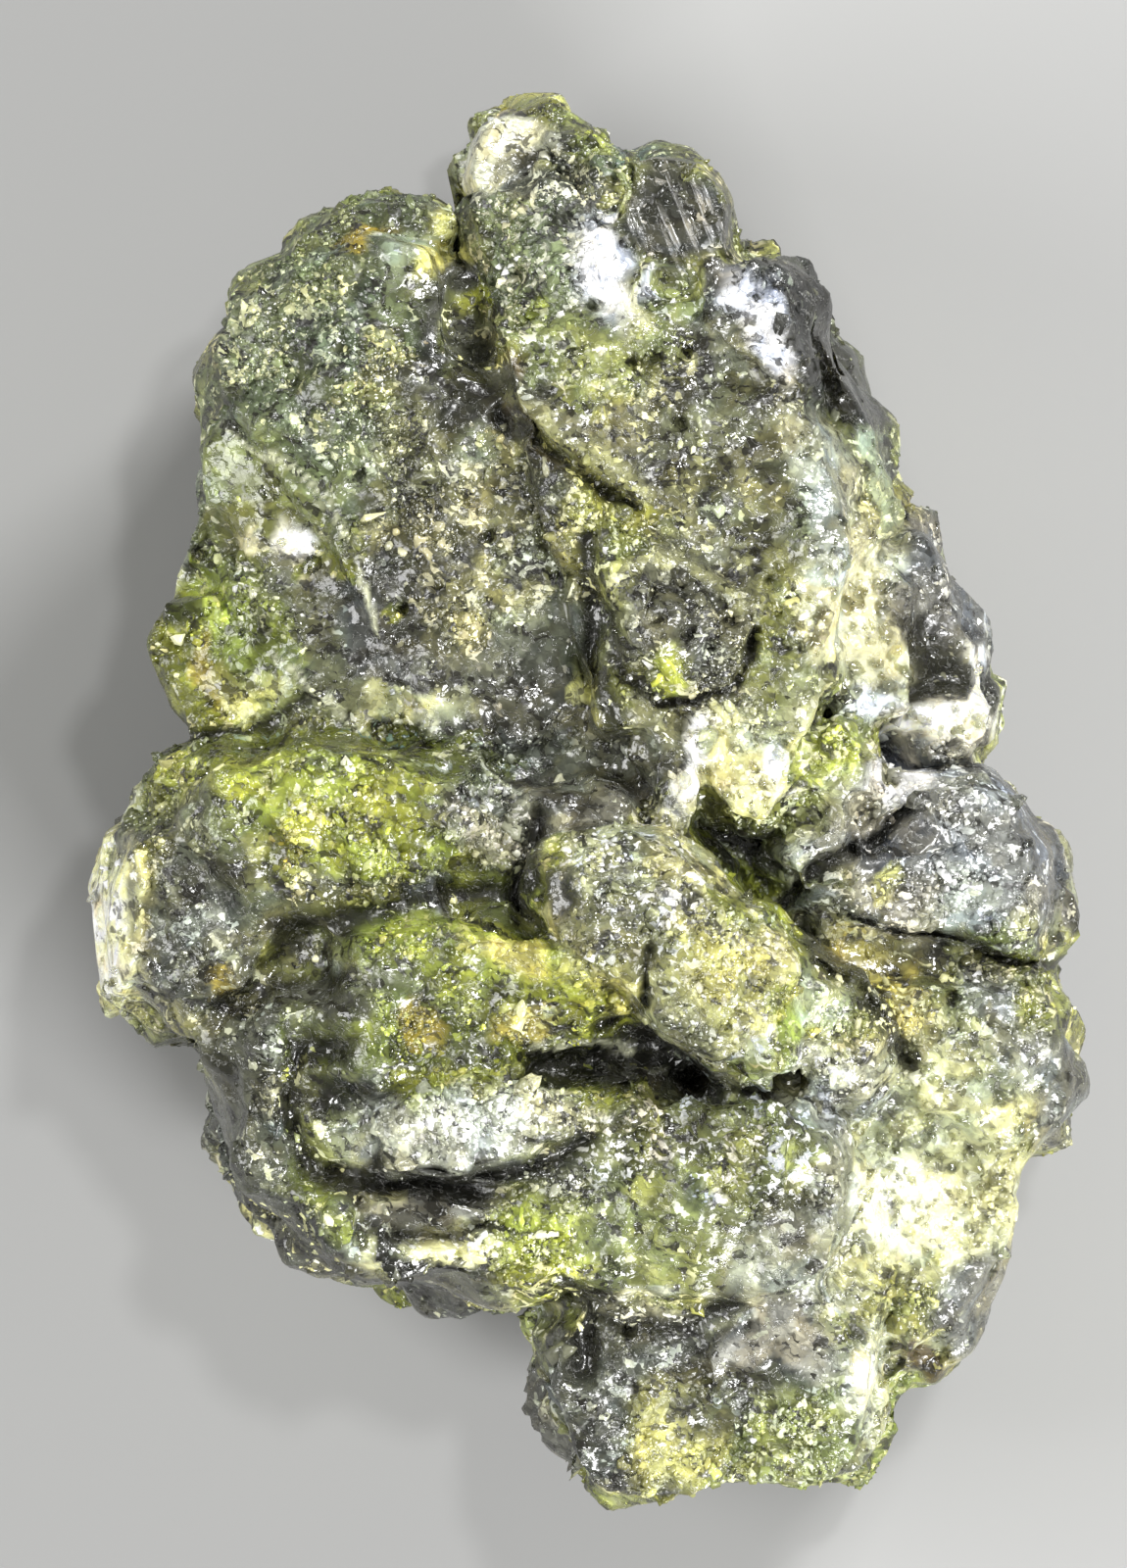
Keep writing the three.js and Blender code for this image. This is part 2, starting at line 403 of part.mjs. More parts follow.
// Takes out points that the surface hardly needs. An edge is pulled together where no face beside it moves
// by more than the tolerance or turns far, and where the surface stays closed. The least change comes
// first.
function simplified(geometry, tolerance) {
  const LEAST_TURN = 0.55; // cosine of the most that a face may turn
  const points = pointsOf(geometry);
  let faces = facesOf(geometry);
  const planeOf = (face) => new THREE.Plane().setFromCoplanarPoints(...face.map((v) => points[v]));
  for (let before = Infinity; faces.length < before; ) {
    before = faces.length;
    const planes = faces.map(planeOf);
    const around = points.map(() => []);
    faces.forEach((face, i) => face.forEach((v) => around[v].push(i)));
    const pulls = [];
    for (const face of faces) {
      for (const [keep, drop] of [[face[0], face[1]], [face[1], face[2]], [face[2], face[0]]]) {
        if (keep > drop) continue;
        const beside = [...around[keep], ...around[drop]];
        for (const place of [points[keep], points[drop], points[keep].clone().lerp(points[drop], 0.5)]) {
          const cost = Math.max(...beside.map((i) => Math.abs(planes[i].distanceToPoint(place))));
          if (cost < tolerance) pulls.push({ cost, keep, drop, place: place.clone() });
        }
      }
    }
    pulls.sort((a, b) => a.cost - b.cost);
    const settled = new Set();
    for (const { keep, drop, place } of pulls) {
      const beside = new Set([...around[keep], ...around[drop]]);
      const ring = new Set([...beside].flatMap((i) => faces[i] ?? []));
      if ([...ring].some((v) => settled.has(v))) continue;
      const neighbours = (v) => new Set(around[v].flatMap((i) => faces[i]));
      const near = neighbours(drop);
      const shared = [...neighbours(keep)].filter((v) => v !== keep && v !== drop && near.has(v));
      if (shared.length !== 2) continue;
      const moved = [...beside].filter((i) => !(faces[i].includes(keep) && faces[i].includes(drop)));
      const turns = moved.some((i) => {
        const corners = faces[i].map((v) => (v === keep || v === drop ? place : points[v]));
        const normal = new THREE.Triangle(...corners).getNormal(new THREE.Vector3());
        return normal.dot(planes[i].normal) < LEAST_TURN;
      });
      if (turns) continue;
      points[keep] = place;
      for (const i of beside) {
        faces[i] = moved.includes(i) ? faces[i].map((v) => (v === drop ? keep : v)) : null;
      }
      ring.forEach((v) => settled.add(v));
    }
    faces = faces.filter(Boolean);
  }
  return merged(new THREE.BufferGeometry().setFromPoints(points).setIndex(faces.flat()).toNonIndexed());
}

// Moves each point by a smooth chance amount, so that a flat block becomes uneven without opening a seam
function roughened(geometry, share) {
  const position = geometry.getAttribute("position");
  for (let i = 0; i < position.count; i++) {
    const p = new THREE.Vector3().fromBufferAttribute(position, i);
    const shift = new THREE.Vector3();
    for (const { across, up, length } of [SWELL, KNOB]) {
      const [x, y, z] = [p.x / length, p.y / length, p.z / length];
      shift.x += across * noise.noise(x + 7.3, y, z);
      shift.y += across * noise.noise(x, y + 19.1, z);
      shift.z += up * noise.noise(x, y, z + 31.7);
    }
    p.addScaledVector(shift, share);
    position.setXYZ(i, p.x, p.y, p.z);
  }
  return geometry;
}

// The body: the outline carried through its sections, with both ends closed
function bodySolid() {
  const contour = [...OUTLINE].reverse(); // anticlockwise, so that the faces point out
  const count = contour.length;
  const points = SECTIONS.flatMap(([height, scale]) =>
    contour.map(([x, y]) => {
      const drop = 1 - RIGHT_DROP * Math.max(0, x) ** 2;
      return new THREE.Vector3(scale * x, scale * y, height > 0 ? height * drop : height);
    }),
  );
  const index = [];
  for (let ring = 0; ring < SECTIONS.length - 1; ring++) {
    for (let i = 0; i < count; i++) {
      const [a, b] = [ring * count + i, ring * count + ((i + 1) % count)];
      index.push(a, b, b + count, a, b + count, a + count);
    }
  }
  const cap = THREE.ShapeUtils.triangulateShape(contour.map(([x, y]) => new THREE.Vector2(x, y)), []);
  const last = (SECTIONS.length - 1) * count;
  for (const [a, b, c] of cap) {
    index.push(last + a, last + b, last + c, a, c, b);
  }
  const body = new THREE.BufferGeometry().setFromPoints(points).setIndex(index);
  const ROUGHNESS = 1.2; // the body is rougher than any block
  return solidOf(roughened(refined(body, GRAIN_EDGE), ROUGHNESS));
}

// One block that stands on the body, rough all over unless it is a smooth crystal
function blockSolid({ outline, low, high, face, shrink, tilt = [0, 0], crown = false, rough = 1 }) {
  const ROOT = 1.6; // how far a block narrows down into the body
  const LEAN = 2.2; // how far its sides slant, against the noise
  const RISE = 0.72; // a crown's height between the widest part and the face
  const mean = (axis) => outline.reduce((sum, point) => sum + point[axis], 0) / outline.length;
  const [middleX, middleY] = [mean(0), mean(1)];
  const faceHeight = (x, y) => face + tilt[0] * (x - middleX) + tilt[1] * (y - middleY);
  const [leanX, leanY] = [1.7, 8.3].map((z) => LEAN * noise.noise(0.31 * middleX, 0.31 * middleY, z));
  const ring = (scale, height, slant = 0) =>
    outline.map(([x, y]) => {
      const px = middleX + slant * leanX + scale * (x - middleX);
      const py = middleY + slant * leanY + scale * (y - middleY);
      return new THREE.Vector3(px, py, height(px, py));
    });
  const points = [
    ...ring(0.78, () => low - ROOT, 1),
    ...ring(0.95, () => low, 1),
    ...ring(1, (x, y) => Math.min((low + high) / 2, faceHeight(x, y) - 0.5)),
    ...ring(0.98, (x, y) => Math.min(high, faceHeight(x, y) - 0.2)),
    ...ring(shrink, faceHeight),
  ];
  if (crown) {
    points.push(...ring(0.42 + 0.58 * shrink, (x, y) => high + RISE * (faceHeight(x, y) - high)));
  }
  const block = refined(merged(new ConvexGeometry(points)), rough < 0.5 ? FACET_EDGE : GRAIN_EDGE);
  return solidOf(roughened(block, rough));
}

// A V-shaped hollow along a line, open at the front
function hollowSolid({ from, to, width, top, bottom }) {
  const start = new THREE.Vector2(...from);
  const along = new THREE.Vector2(...to).sub(start);
  const across = new THREE.Vector2(-along.y, along.x).setLength(width / 2);
  const points = [];
  for (const [share, scale] of [[-0.06, 0.3], [0.25, 1], [0.75, 1], [1.06, 0.3]]) {
    const place = start.clone().addScaledVector(along, share);
    for (const side of [-scale, scale]) {
      points.push(new THREE.Vector3(place.x + side * across.x, place.y + side * across.y, top));
    }
    points.push(new THREE.Vector3(place.x, place.y, bottom + 1 - scale));
  }
  return solidOf(merged(new ConvexGeometry(points)));
}

// A small crystal: a four-sided column of uneven width with a slanted end
function crystalGeometry(half, random) {
  const [depth, length] = [(1.2 + 0.7 * random()) * half, (1.6 + 0.8 * random()) * half];
  const column = new THREE.BoxGeometry(2 * half, depth, length);
  const [slant, taper] = [0.4 * random(), 0.55 + 0.4 * random()];
  const position = column.getAttribute("position");
  for (let i = 0; i < position.count; i++) {
    const [x, y, z] = [position.getX(i), position.getY(i), position.getZ(i)];
    if (z > 0) position.setXYZ(i, taper * x, taper * y, z - slant * x);
  }
  return column;
}

// The space that the cluster may fill: its outline, a little larger, from far below to far above
function outlineSolid() {
  const shape = new THREE.Shape(OUTLINE.map(([x, y]) => new THREE.Vector2(SPREAD * x, SPREAD * y)));
  const space = new THREE.ExtrudeGeometry(shape, { depth: REST_CUT, bevelEnabled: false });
  return solidOf(merged(space.translate(0, 0, -REST_CUT / 2)));
}

// A chunk: a broken lump with a few flat sides
function chunkGeometry(half, random) {
  const CORNERS = 11;
  const points = Array.from({ length: CORNERS }, (_, i) => {
    const height = 1 - (2 * i + 1) / CORNERS;
    const [angle, girth] = [2 * Math.PI * random(), Math.sqrt(1 - height ** 2)];
    return new THREE.Vector3(girth * Math.cos(angle), girth * Math.sin(angle), height).multiplyScalar(half);
  });
  return new ConvexGeometry(points);
}

// A pit: a small hollow with flat sides
function pitGeometry(half, random) {
  return new THREE.OctahedronGeometry(half, 0).scale(1, 0.6 + 0.6 * random(), 1.5);
}

// Whether a point seen from the front lies inside the outline
function insideOutline(x, y) {
  const crossings = OUTLINE.filter(([ax, ay], i) => {
    const [bx, by] = OUTLINE[(i + 1) % OUTLINE.length];
    return ay > y !== by > y && x < ax + ((y - ay) / (by - ay)) * (bx - ax);
  });
  return crossings.length % 2 === 1;
}

// Copies of a small shape at chance places on a solid, each turned to stand on its surface and sunk into it
function scattered(solid, { count, least, most, sunk, lean, lowest, highest }, shape, random) {
  const surface = new THREE.Mesh(geometryOf(solid).toNonIndexed());
  surface.geometry.computeVertexNormals();
  const sampler = new MeshSurfaceSampler(surface).setRandomGenerator(random).build();
  const [place, normal, up] = [new THREE.Vector3(), new THREE.Vector3(), new THREE.Vector3(0, 0, 1)];
  const made = [];
  while (made.length < count) {
    sampler.sample(place, normal);
    const half = least + (most - least) * random() ** 2;
    const axis = new THREE.Vector3(random() - 0.5, random() - 0.5, random() - 0.5);
    axis.multiplyScalar(lean).add(normal).normalize();
    const turn = new THREE.Quaternion().setFromUnitVectors(up, axis);
    turn.multiply(new THREE.Quaternion().setFromAxisAngle(up, 2 * Math.PI * random()));
    const piece = shape(half, random).applyQuaternion(turn);
    place.addScaledVector(normal, -sunk * half);
    piece.translate(place.x, place.y, place.z);
    if (place.z < lowest + half || place.z > highest) continue;
    if (!pointsOf(merged(piece)).every((p) => insideOutline(p.x / SPREAD, p.y / SPREAD))) continue;
    made.push(solidOf(merged(piece)));
  }
  return wasm.Manifold.union(made);
}

function clusterGeometry() {
  const random = chance(SEED);
  let solid = wasm.Manifold.union([bodySolid(), ...Object.values(BLOCKS).map(blockSolid)]);
  solid = solid.add(scattered(solid, CHUNKS, chunkGeometry, random));
  solid = solid.intersect(outlineSolid());
  solid = solid.subtract(wasm.Manifold.union(Object.values(HOLLOWS).map(hollowSolid)));
  const studs = scattered(solid, STUDS, crystalGeometry, random);
  const knobs = scattered(solid, KNOBS, chunkGeometry, random);
  const pits = scattered(solid, PITS, pitGeometry, random);
  solid = solidOf(simplified(geometryOf(solid.add(studs.add(knobs)).subtract(pits)), TOLERANCE));
  const below = new THREE.BoxGeometry(REST_CUT, REST_CUT, REST_CUT).translate(0, 0, -REST_CUT / 2);
  solid = solid.subtract(solidOf(merged(below)));
  // anything that a hollow cut loose is left out
  const largest = solid.decompose().sort((a, b) => b.volume() - a.volume())[0];
  const geometry = geometryOf(largest);
  geometry.computeBoundingBox();
  const { min, max } = geometry.boundingBox;
  return geometry.translate(-(min.x + max.x) / 2, -(min.y + max.y) / 2, -min.z);
}

const epidote = new THREE.MeshStandardMaterial({ color: 0x5c6038, roughness: 0.42, metalness: 0 });
const cluster = new THREE.Mesh(clusterGeometry(), epidote);
cluster.name = "crystal_cluster";

const specimen = new THREE.Group();
specimen.add(cluster);

export default specimen;
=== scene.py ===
# %% [markdown]
# # A cluster of epidote crystals
#
# The specimen is one natural piece about 29 mm long: dark glassy crystals, green and yellow sugary
# masses and pale clear ones, all grown into each other. It lies on its flat broken back, and the
# camera looks straight down on the side that the photograph shows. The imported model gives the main
# masses at their real size. This script grows the fine surface on them, in this order: the skin,
# its relief, its colours, the crystals that stand on it, and then the finish of each.

import bmesh
import bpy
import numpy as np
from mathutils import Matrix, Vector


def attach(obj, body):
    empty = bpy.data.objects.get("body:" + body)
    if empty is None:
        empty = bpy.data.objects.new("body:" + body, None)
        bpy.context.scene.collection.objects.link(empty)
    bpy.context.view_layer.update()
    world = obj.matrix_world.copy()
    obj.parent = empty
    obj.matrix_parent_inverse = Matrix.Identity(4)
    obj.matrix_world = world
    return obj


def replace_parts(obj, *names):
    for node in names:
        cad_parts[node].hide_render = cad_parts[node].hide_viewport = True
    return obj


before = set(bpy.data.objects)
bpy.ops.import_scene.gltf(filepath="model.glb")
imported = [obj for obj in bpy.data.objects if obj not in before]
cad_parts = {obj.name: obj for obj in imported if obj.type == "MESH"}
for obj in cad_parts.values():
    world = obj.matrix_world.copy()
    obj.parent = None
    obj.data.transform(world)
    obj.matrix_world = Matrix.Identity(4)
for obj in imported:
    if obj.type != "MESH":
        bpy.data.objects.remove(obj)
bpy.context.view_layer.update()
NODE = "crystal_cluster"
BODY = "root"
MM = 0.001

# %% [markdown]
# ## Random numbers that belong to a place
#
# Broken stone is uneven at every size at once. A texture node could show that, but only in the
# shading, and here the unevenness has to be in the mesh. So the noise is worked out with numpy for
# all points together. It is hashed from whole-numbered cells of space: the same place always gets
# the same value, which keeps neighbours together and gives the same stone on every run.

# %% Hashed noise


def hashed(cells, salt):
    """A number from 0 to 1 for each whole-numbered cell (x, y, z), by mixing the bits of the three."""
    whole = cells.astype(np.int64).astype(np.uint32)
    mixed = whole[:, 0] * np.uint32(0x8DA6B343) ^ whole[:, 1] * np.uint32(0xD8163841)
    mixed ^= whole[:, 2] * np.uint32(0xCB1AB31F) ^ np.uint32(salt * 7919 + 17)
    for shift, factor in ((15, 0x2C1B3C6D), (12, 0x297A2D39)):
        mixed ^= mixed >> np.uint32(shift)
        mixed *= np.uint32(factor)
    mixed ^= mixed >> np.uint32(15)
    return mixed / 4294967296.0


def noise(points, size, salt):
    """Smooth values from -1 to 1: the hashed corners of each cube of the given size, blended across it."""
    scaled = points / size
    low = np.floor(scaled)
    part = scaled - low
    part = part * part * (3 - 2 * part)
    total = np.zeros(len(points))
    for corner in np.ndindex(2, 2, 2):
        share = np.prod(np.where(corner, part, 1 - part), axis=1)
        total += share * hashed(low + corner, salt)
    return total * 2 - 1


def rough_noise(points, size, salt):
    """Noise at one size, plus half as much at half the size and a quarter at a quarter of it."""
    return sum(noise(points, size / 2**n, salt + n) / 2**n for n in range(3))


def hashed_triple(cells, salt):
    """Three numbers from 0 to 1 for each cell."""
    return np.stack([hashed(cells, salt + axis) for axis in range(3)], axis=1)


def nearby_cells(scaled, salt):
    """The 27 cubes round each point, one after the other, each with the way from a random centre in
    it to the point."""
    home = np.floor(scaled)
    for corner in np.ndindex(3, 3, 3):
        cube = home + np.subtract(corner, 1)
        yield cube, scaled - (cube + hashed_triple(cube, salt))


def crystal_cells(points, size, salt):
    """Parts space round one random centre in each cube. Returns for each point how much further the
    second centre is than the nearest one, and the cell of the nearest one."""
    best = np.full(len(points), 9.0)
    second = best.copy()
    cell = np.zeros_like(points)
    for cube, offset in nearby_cells(points / size, salt):
        far = (offset**2).sum(axis=1)
        nearer = far < best
        second = np.where(nearer, best, np.minimum(second, far))
        best = np.where(nearer, far, best)
        cell[nearer] = cube[nearer]
    return (np.sqrt(second) - np.sqrt(best)) * size, cell


def step(low, high, value):
    """0 below low, 1 above high, and a smooth rise between them."""
    part = np.clip((value - low) / (high - low), 0, 1)
    return part * part * (3 - 2 * part)


# %% [markdown]
# ## The skin
#
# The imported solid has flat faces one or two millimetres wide. A copy of it is merged into one closed
# mesh and remeshed on an even grid of voxels, which gives the relief enough points everywhere, also
# on the sides and in the clefts. The voxel grid is the simplest way to an even mesh on a lump with
# overhangs. All the shaping happens in millimetres, because the remesher doesn't like sizes that are
# far below one.

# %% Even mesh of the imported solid
VOXEL = 0.125
SMOOTH_ROUNDS = 16


def mesh_arrays(mesh):
    """The points (n, 3) and the four-cornered faces (m, 4) of a mesh as arrays."""
    points = np.empty(len(mesh.vertices) * 3)
    mesh.vertices.foreach_get("co", points)
    corners = np.empty(len(mesh.loops), np.int64)
    mesh.loops.foreach_get("vertex_index", corners)
    return points.reshape(-1, 3), corners.reshape(-1, 4)


def closed_copy(node):
    """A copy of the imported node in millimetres, with the corners of its loose triangles merged."""
    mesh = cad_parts[node].data.copy()
    work = bmesh.new()
    work.from_mesh(mesh)
    bmesh.ops.scale(work, vec=(1 / MM,) * 3, verts=work.verts)
    bmesh.ops.remove_doubles(work, verts=work.verts, dist=0.0005)
    work.to_mesh(mesh)
    work.free()
    mesh.materials.clear()
    return mesh


def evaluated(source, settings):
    """The arrays of a mesh after a stack of modifiers, each given by its type and its settings."""
    holder = bpy.data.objects.new("skin_work", source)
    bpy.context.scene.collection.objects.link(holder)
    for kind, values in settings:
        modifier = holder.modifiers.new(kind, kind)
        for name, value in values.items():
            setattr(modifier, name, value)
    made = bpy.data.meshes.new_from_object(holder.evaluated_get(bpy.context.evaluated_depsgraph_get()))
    arrays = mesh_arrays(made)
    bpy.data.objects.remove(holder)
    bpy.data.meshes.remove(made)
    return arrays


REMESH = ("REMESH", {"mode": "VOXEL", "voxel_size": VOXEL, "adaptivity": 0})
SMOOTH = ("SMOOTH", {"factor": 0.5, "iterations": SMOOTH_ROUNDS})
packed_mesh = closed_copy(NODE)
crisp, faces = evaluated(packed_mesh, [REMESH])
soft, _ = evaluated(packed_mesh, [REMESH, SMOOTH])
print("skin:", len(crisp), "points,", len(faces), "faces")

# %% Normals of a mesh that is only arrays


def face_normals(points, faces):
    """Across its two diagonals, a four-cornered face has this normal, as long as twice its area."""
    a, b, c, d = (points[faces[:, n]] for n in range(4))
    return np.cross(c - a, d - b)


def point_normals(points, faces):
    """Unit normals: the sum of the normals of the faces round each point."""
    across = face_normals(points, faces)
    total = np.zeros_like(points)
    for corner in range(4):
        for axis in range(3):
            total[:, axis] += np.bincount(faces[:, corner], across[:, axis], len(points))
    return total / np.maximum(np.linalg.norm(total, axis=1, keepdims=True), 1e-9)


# %% [markdown]
# ## Places on the stone
#
# Every patch of colour and every ledge is a spot: a centre, two half widths and a turn, in
# millimetres from the middle of the specimen, as seen by the camera. A spot's edge is bent by noise,
# so that no ellipse can be seen. Spots belong to the side that the camera sees. Lower down on the
# flanks they fade, and the bands worked out below take over.

# %% Spots
WARP = 0.42
FINE_WARP = 0.24


def warped(points):
    """The points moved a little by noise, so that edges drawn on them come out ragged."""
    moved = points.copy()
    for axis in range(3):
        moved[:, axis] += WARP * noise(points, 1.3, 40 + axis) + FINE_WARP * noise(points, 0.42, 50 + axis)
    return moved


def spot_mask(points, spot, edge):
    """1 inside the ellipse (x, y, half length, half width, turn in degrees), falling to 0 outside it."""
    x, y, long, wide, turn = spot[:5]
    angle = np.radians(turn)
    across = points[:, :2] - (x, y)
    along = (across @ (np.cos(angle), np.sin(angle))) / long
    beside = (across @ (-np.sin(angle), np.cos(angle))) / wide
    return 1 - step(1 - edge, 1 + edge, np.hypot(along, beside))


# %% [markdown]
# ## Relief one by one
#
# Some faces and edges can be told apart in the photograph: broad cleavage faces that mirror the
# light, thin bright ridges, dark clefts and small round pits. Each is one line of a table. A face
# pulls the surface inside its spot towards a tilted plane. A ridge or a cleft follows a short chain
# of points and lifts or sinks what is near it. Before that, notches that the imported masses leave
# between them, and that the stone doesn't have, are filled up to a height.

# %% Cleavage faces, ridges, clefts and pits
# name: (x, y, half length, half width, turn, slope to the right, slope to the top, strength)
CLEAVAGE = {
    "tip face": (-1.65, 13.1, 0.95, 0.9, 0, -0.1, 0.0, 1.0),
    "bright face under the tip": (0.55, 10.75, 1.1, 0.6, -72, -0.2, -0.26, 0.7),
    "striped face": (1.85, 11.8, 1.3, 1.0, 60, 0.1, -0.05, 1.0),
    "shoulder face": (3.6, 9.5, 1.25, 0.4, -68, -0.22, -0.28, 0.7),
    "dark flank": (5.3, 9.2, 1.9, 0.7, -58, -1.0, -0.5, 0.8),
    "left facet": (-6.6, 6.6, 1.35, 1.0, -20, 0.25, 0.05, 0.75),
    "violet plane": (-1.3, 3.0, 1.7, 1.6, 10, 0.02, 0.06, 0.75),
    "middle plane": (-2.3, 5.6, 2.2, 1.6, -30, -0.05, 0.03, 0.35),
    "right plane": (2.9, 6.4, 2.2, 1.7, 0, -0.04, 0.06, 0.4),
    "right edge": (4.75, 6.2, 1.9, 0.45, -72, -0.45, -0.2, 0.7),
    "right lobe glint": (6.5, 0.35, 0.6, 0.45, 30, -0.28, -0.38, 0.9),
    "right lobe face": (6.35, -0.8, 0.9, 0.6, 20, -0.05, -0.05, 0.8),
    "glassy hollow face": (4.75, -1.05, 0.8, 0.45, 35, -0.2, -0.25, 0.8),
    "front blue face": (-0.35, -1.75, 0.55, 0.6, 0, 0.3, 0.1, 0.85),
    "front bright face": (1.0, -1.7, 1.2, 0.75, -20, -0.15, -0.25, 0.6),
    "pale blunt end": (0.65, -3.65, 0.65, 0.55, 0, -0.2, -0.1, 0.7),
    "bowl strip": (-3.05, -8.2, 1.6, 0.35, -4, 0.0, 0.35, 0.8),
    "bowl shelf": (-2.3, -6.6, 1.9, 0.75, 3, 0.0, -0.3, 0.5),
    "foot face": (3.85, -11.1, 1.5, 0.8, 5, -0.1, 0.05, 0.85),
    "clear mass face": (8.05, -10.4, 0.8, 1.1, 10, -0.4, 0.1, 0.7),
    "blunt right end": (9.4, -6.3, 0.75, 1.0, 0, -0.35, 0.0, 0.7),
    "left pale face": (-9.65, -2.7, 0.65, 1.7, -4, 1.5, 0.0, 1.0),
    "dark side lobe": (-8.0, -2.4, 1.0, 1.7, -6, 0.15, -0.12, 0.35),
}
# name: (height, half width, colour painted along the line, then the points that the line runs through); black
# along the clefts and charcoal in the dark gap and its branch are painted shade, and pale along the ridges is
# painted highlight
LINES = {
    "left ridge": (
        0.1, 0.06, "pale", (-7.4, 7.7), (-6.8, 7.2), (-6.0, 6.9), (-5.3, 6.2), (-4.7, 4.9), (-4.25, 3.4),
    ),
    "second ridge": (0.1, 0.06, "pale", (-6.3, 3.0), (-5.4, 2.2), (-4.45, 1.3)),
    "short ridge": (0.1, 0.06, "pale", (-3.4, 1.7), (-3.0, 1.45)),
    "upper groove": (-0.39, 0.2, "black", (-1.6, 7.8), (-0.6, 7.0), (0.1, 6.6), (0.9, 5.9)),
    "groove lip": (0.13, 0.2, "taupe", (-1.5, 8.3), (-0.4, 7.4), (0.5, 6.9), (1.2, 6.2)),
    "block step": (-0.39, 0.22, "black", (0.0, 5.2), (0.05, 4.0), (0.1, 2.7), (0.6, 1.7)),
    "dark gap": (-0.15, 0.35, "charcoal", (-2.7, 10.6), (-2.8, 9.9), (-2.3, 9.1)),
    "gap branch": (-0.2, 0.2, "charcoal", (-2.3, 9.1), (-1.5, 8.4), (-0.7, 8.2)),
    "ring round the lime patch": (
        -0.29, 0.14, "black", (0.5, 3.6), (0.7, 2.7), (1.4, 2.1), (2.3, 2.0), (3.0, 2.4), (3.4, 3.3),
    ),
    "top of the ring": (0.16, 0.16, "taupe", (0.6, 4.4), (1.4, 4.8), (2.4, 4.5), (3.1, 3.8)),
    "right crack": (-0.52, 0.16, "black", (4.05, -2.0), (5.0, -1.2), (5.9, -0.8), (6.6, -0.1)),
    "lower right crack": (
        -0.42, 0.14, "black", (5.2, -2.3), (6.6, -2.7), (8.0, -3.0), (9.2, -3.35), (9.8, -3.3),
    ),
    "diagonal cleft": (-0.52, 0.22, "black", (4.4, -2.6), (5.2, -3.6), (6.0, -4.6), (6.6, -5.2)),
    "front crevice": (-0.5, 0.22, "black", (-0.9, -0.3), (-1.3, -1.1), (-1.5, -2.1)),
    "blunt end outline": (-0.33, 0.12, "black", (1.2, -3.0), (1.3, -3.6), (1.1, -4.2), (0.3, -4.5)),
    "hollow under the tongues": (-0.52, 0.3, "black", (-0.9, -5.4), (0.4, -5.1), (1.6, -5.2), (2.1, -5.7)),
    "bowl rim": (
        0.2, 0.2, "charcoal",
        (-4.4, -4.2), (-5.6, -3.8), (-6.6, -4.6), (-7.1, -6.2), (-6.6, -7.8), (-5.7, -8.9),
    ),
    "inside the rim": (
        -0.39, 0.24, "black", (-4.7, -4.9), (-5.8, -4.9), (-6.0, -6.2), (-5.6, -7.3), (-4.6, -8.0),
    ),
    "shelf cleft": (
        -0.52, 0.18, "black", (-5.0, -7.4), (-3.8, -7.6), (-2.6, -7.7), (-1.2, -7.4), (0.0, -7.0),
    ),
    "under the strip": (-0.26, 0.14, "black", (-4.6, -8.5), (-3.0, -8.7), (-1.6, -8.5)),
    "striations low": (0.1, 0.07, "pale", (-1.0, -5.0), (0.2, -4.9), (0.9, -5.1)),
    "clear mass edge": (-0.3, 0.14, "smoke", (5.3, -5.9), (5.15, -7.4), (5.2, -8.6)),
    "foot shoulder": (-0.33, 0.25, "black", (-0.3, -9.9), (0.6, -10.4), (1.8, -10.5), (2.9, -10.1)),
    "foot gap": (-0.52, 0.3, "black", (0.0, -10.7), (0.0, -11.3)),
    "lobe top edge": (0.14, 0.14, "moss", (-7.9, 1.0), (-6.3, 1.15), (-4.4, 1.1), (-2.6, 0.75)),
    "lobe lower cleft": (-0.12, 0.22, "black", (-6.2, -2.6), (-4.6, -2.3), (-3.0, -1.9), (-2.0, -1.8)),
    "left face edge": (-0.06, 0.1, "smoke", (-9.2, -0.9), (-9.15, -2.4), (-9.0, -4.2)),
    "ear cleft": (-0.2, 0.15, "black", (-8.6, 1.6), (-7.2, 1.35), (-6.2, 1.7), (-5.6, 2.1)),
}
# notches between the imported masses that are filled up: (x, y, half length, half width, turn, height)
FILLS = (
    (1.6, 10.5, 0.9, 0.8, 0, 11.2),
    (0.1, 12.9, 1.7, 0.5, -20, 10.3),
    (7.3, 1.5, 1.2, 0.8, 0, 9.0),
    (5.5, -9.6, 0.6, 1.9, 0, 10.3),
    (2.4, 1.1, 0.35, 0.45, 0, 11.6),
    (0.35, 12.3, 0.5, 0.7, 0, 11.0),
    (-2.7, 9.9, 0.5, 1.2, 0, 10.2),
)
# the round pits that can be told apart: (x, y)
NAMED_PITS = (
    (0.95, 8.85), (1.35, 8.95), (2.0, 9.05), (-1.35, 10.65), (2.35, 9.75), (3.45, 10.15), (1.25, -4.0),
    (2.75, -4.55), (7.45, -3.95), (3.35, -10.65), (0.85, -10.75), (2.05, 3.35), (1.5, 3.6), (2.5, 3.1),
    (2.9, 3.6), (-2.0, 5.4), (-3.7, 3.9), (-4.6, 6.6), (3.7, 4.4), (4.4, 5.6), (1.9, 7.6), (-0.3, 4.6),
)


def line_distance(points, chain):
    """The distance in the picture from each point to a chain of straight pieces."""
    nearest = np.full(len(points), 1e9)
    for start, end in zip(chain[:-1], chain[1:]):
        start, along = np.array(start), np.subtract(end, start)
        part = np.clip(((points[:, :2] - start) @ along) / (along @ along), 0, 1)
        away = points[:, :2] - start - part[:, None] * along
        nearest = np.minimum(nearest, np.hypot(away[:, 0], away[:, 1]))
    return nearest


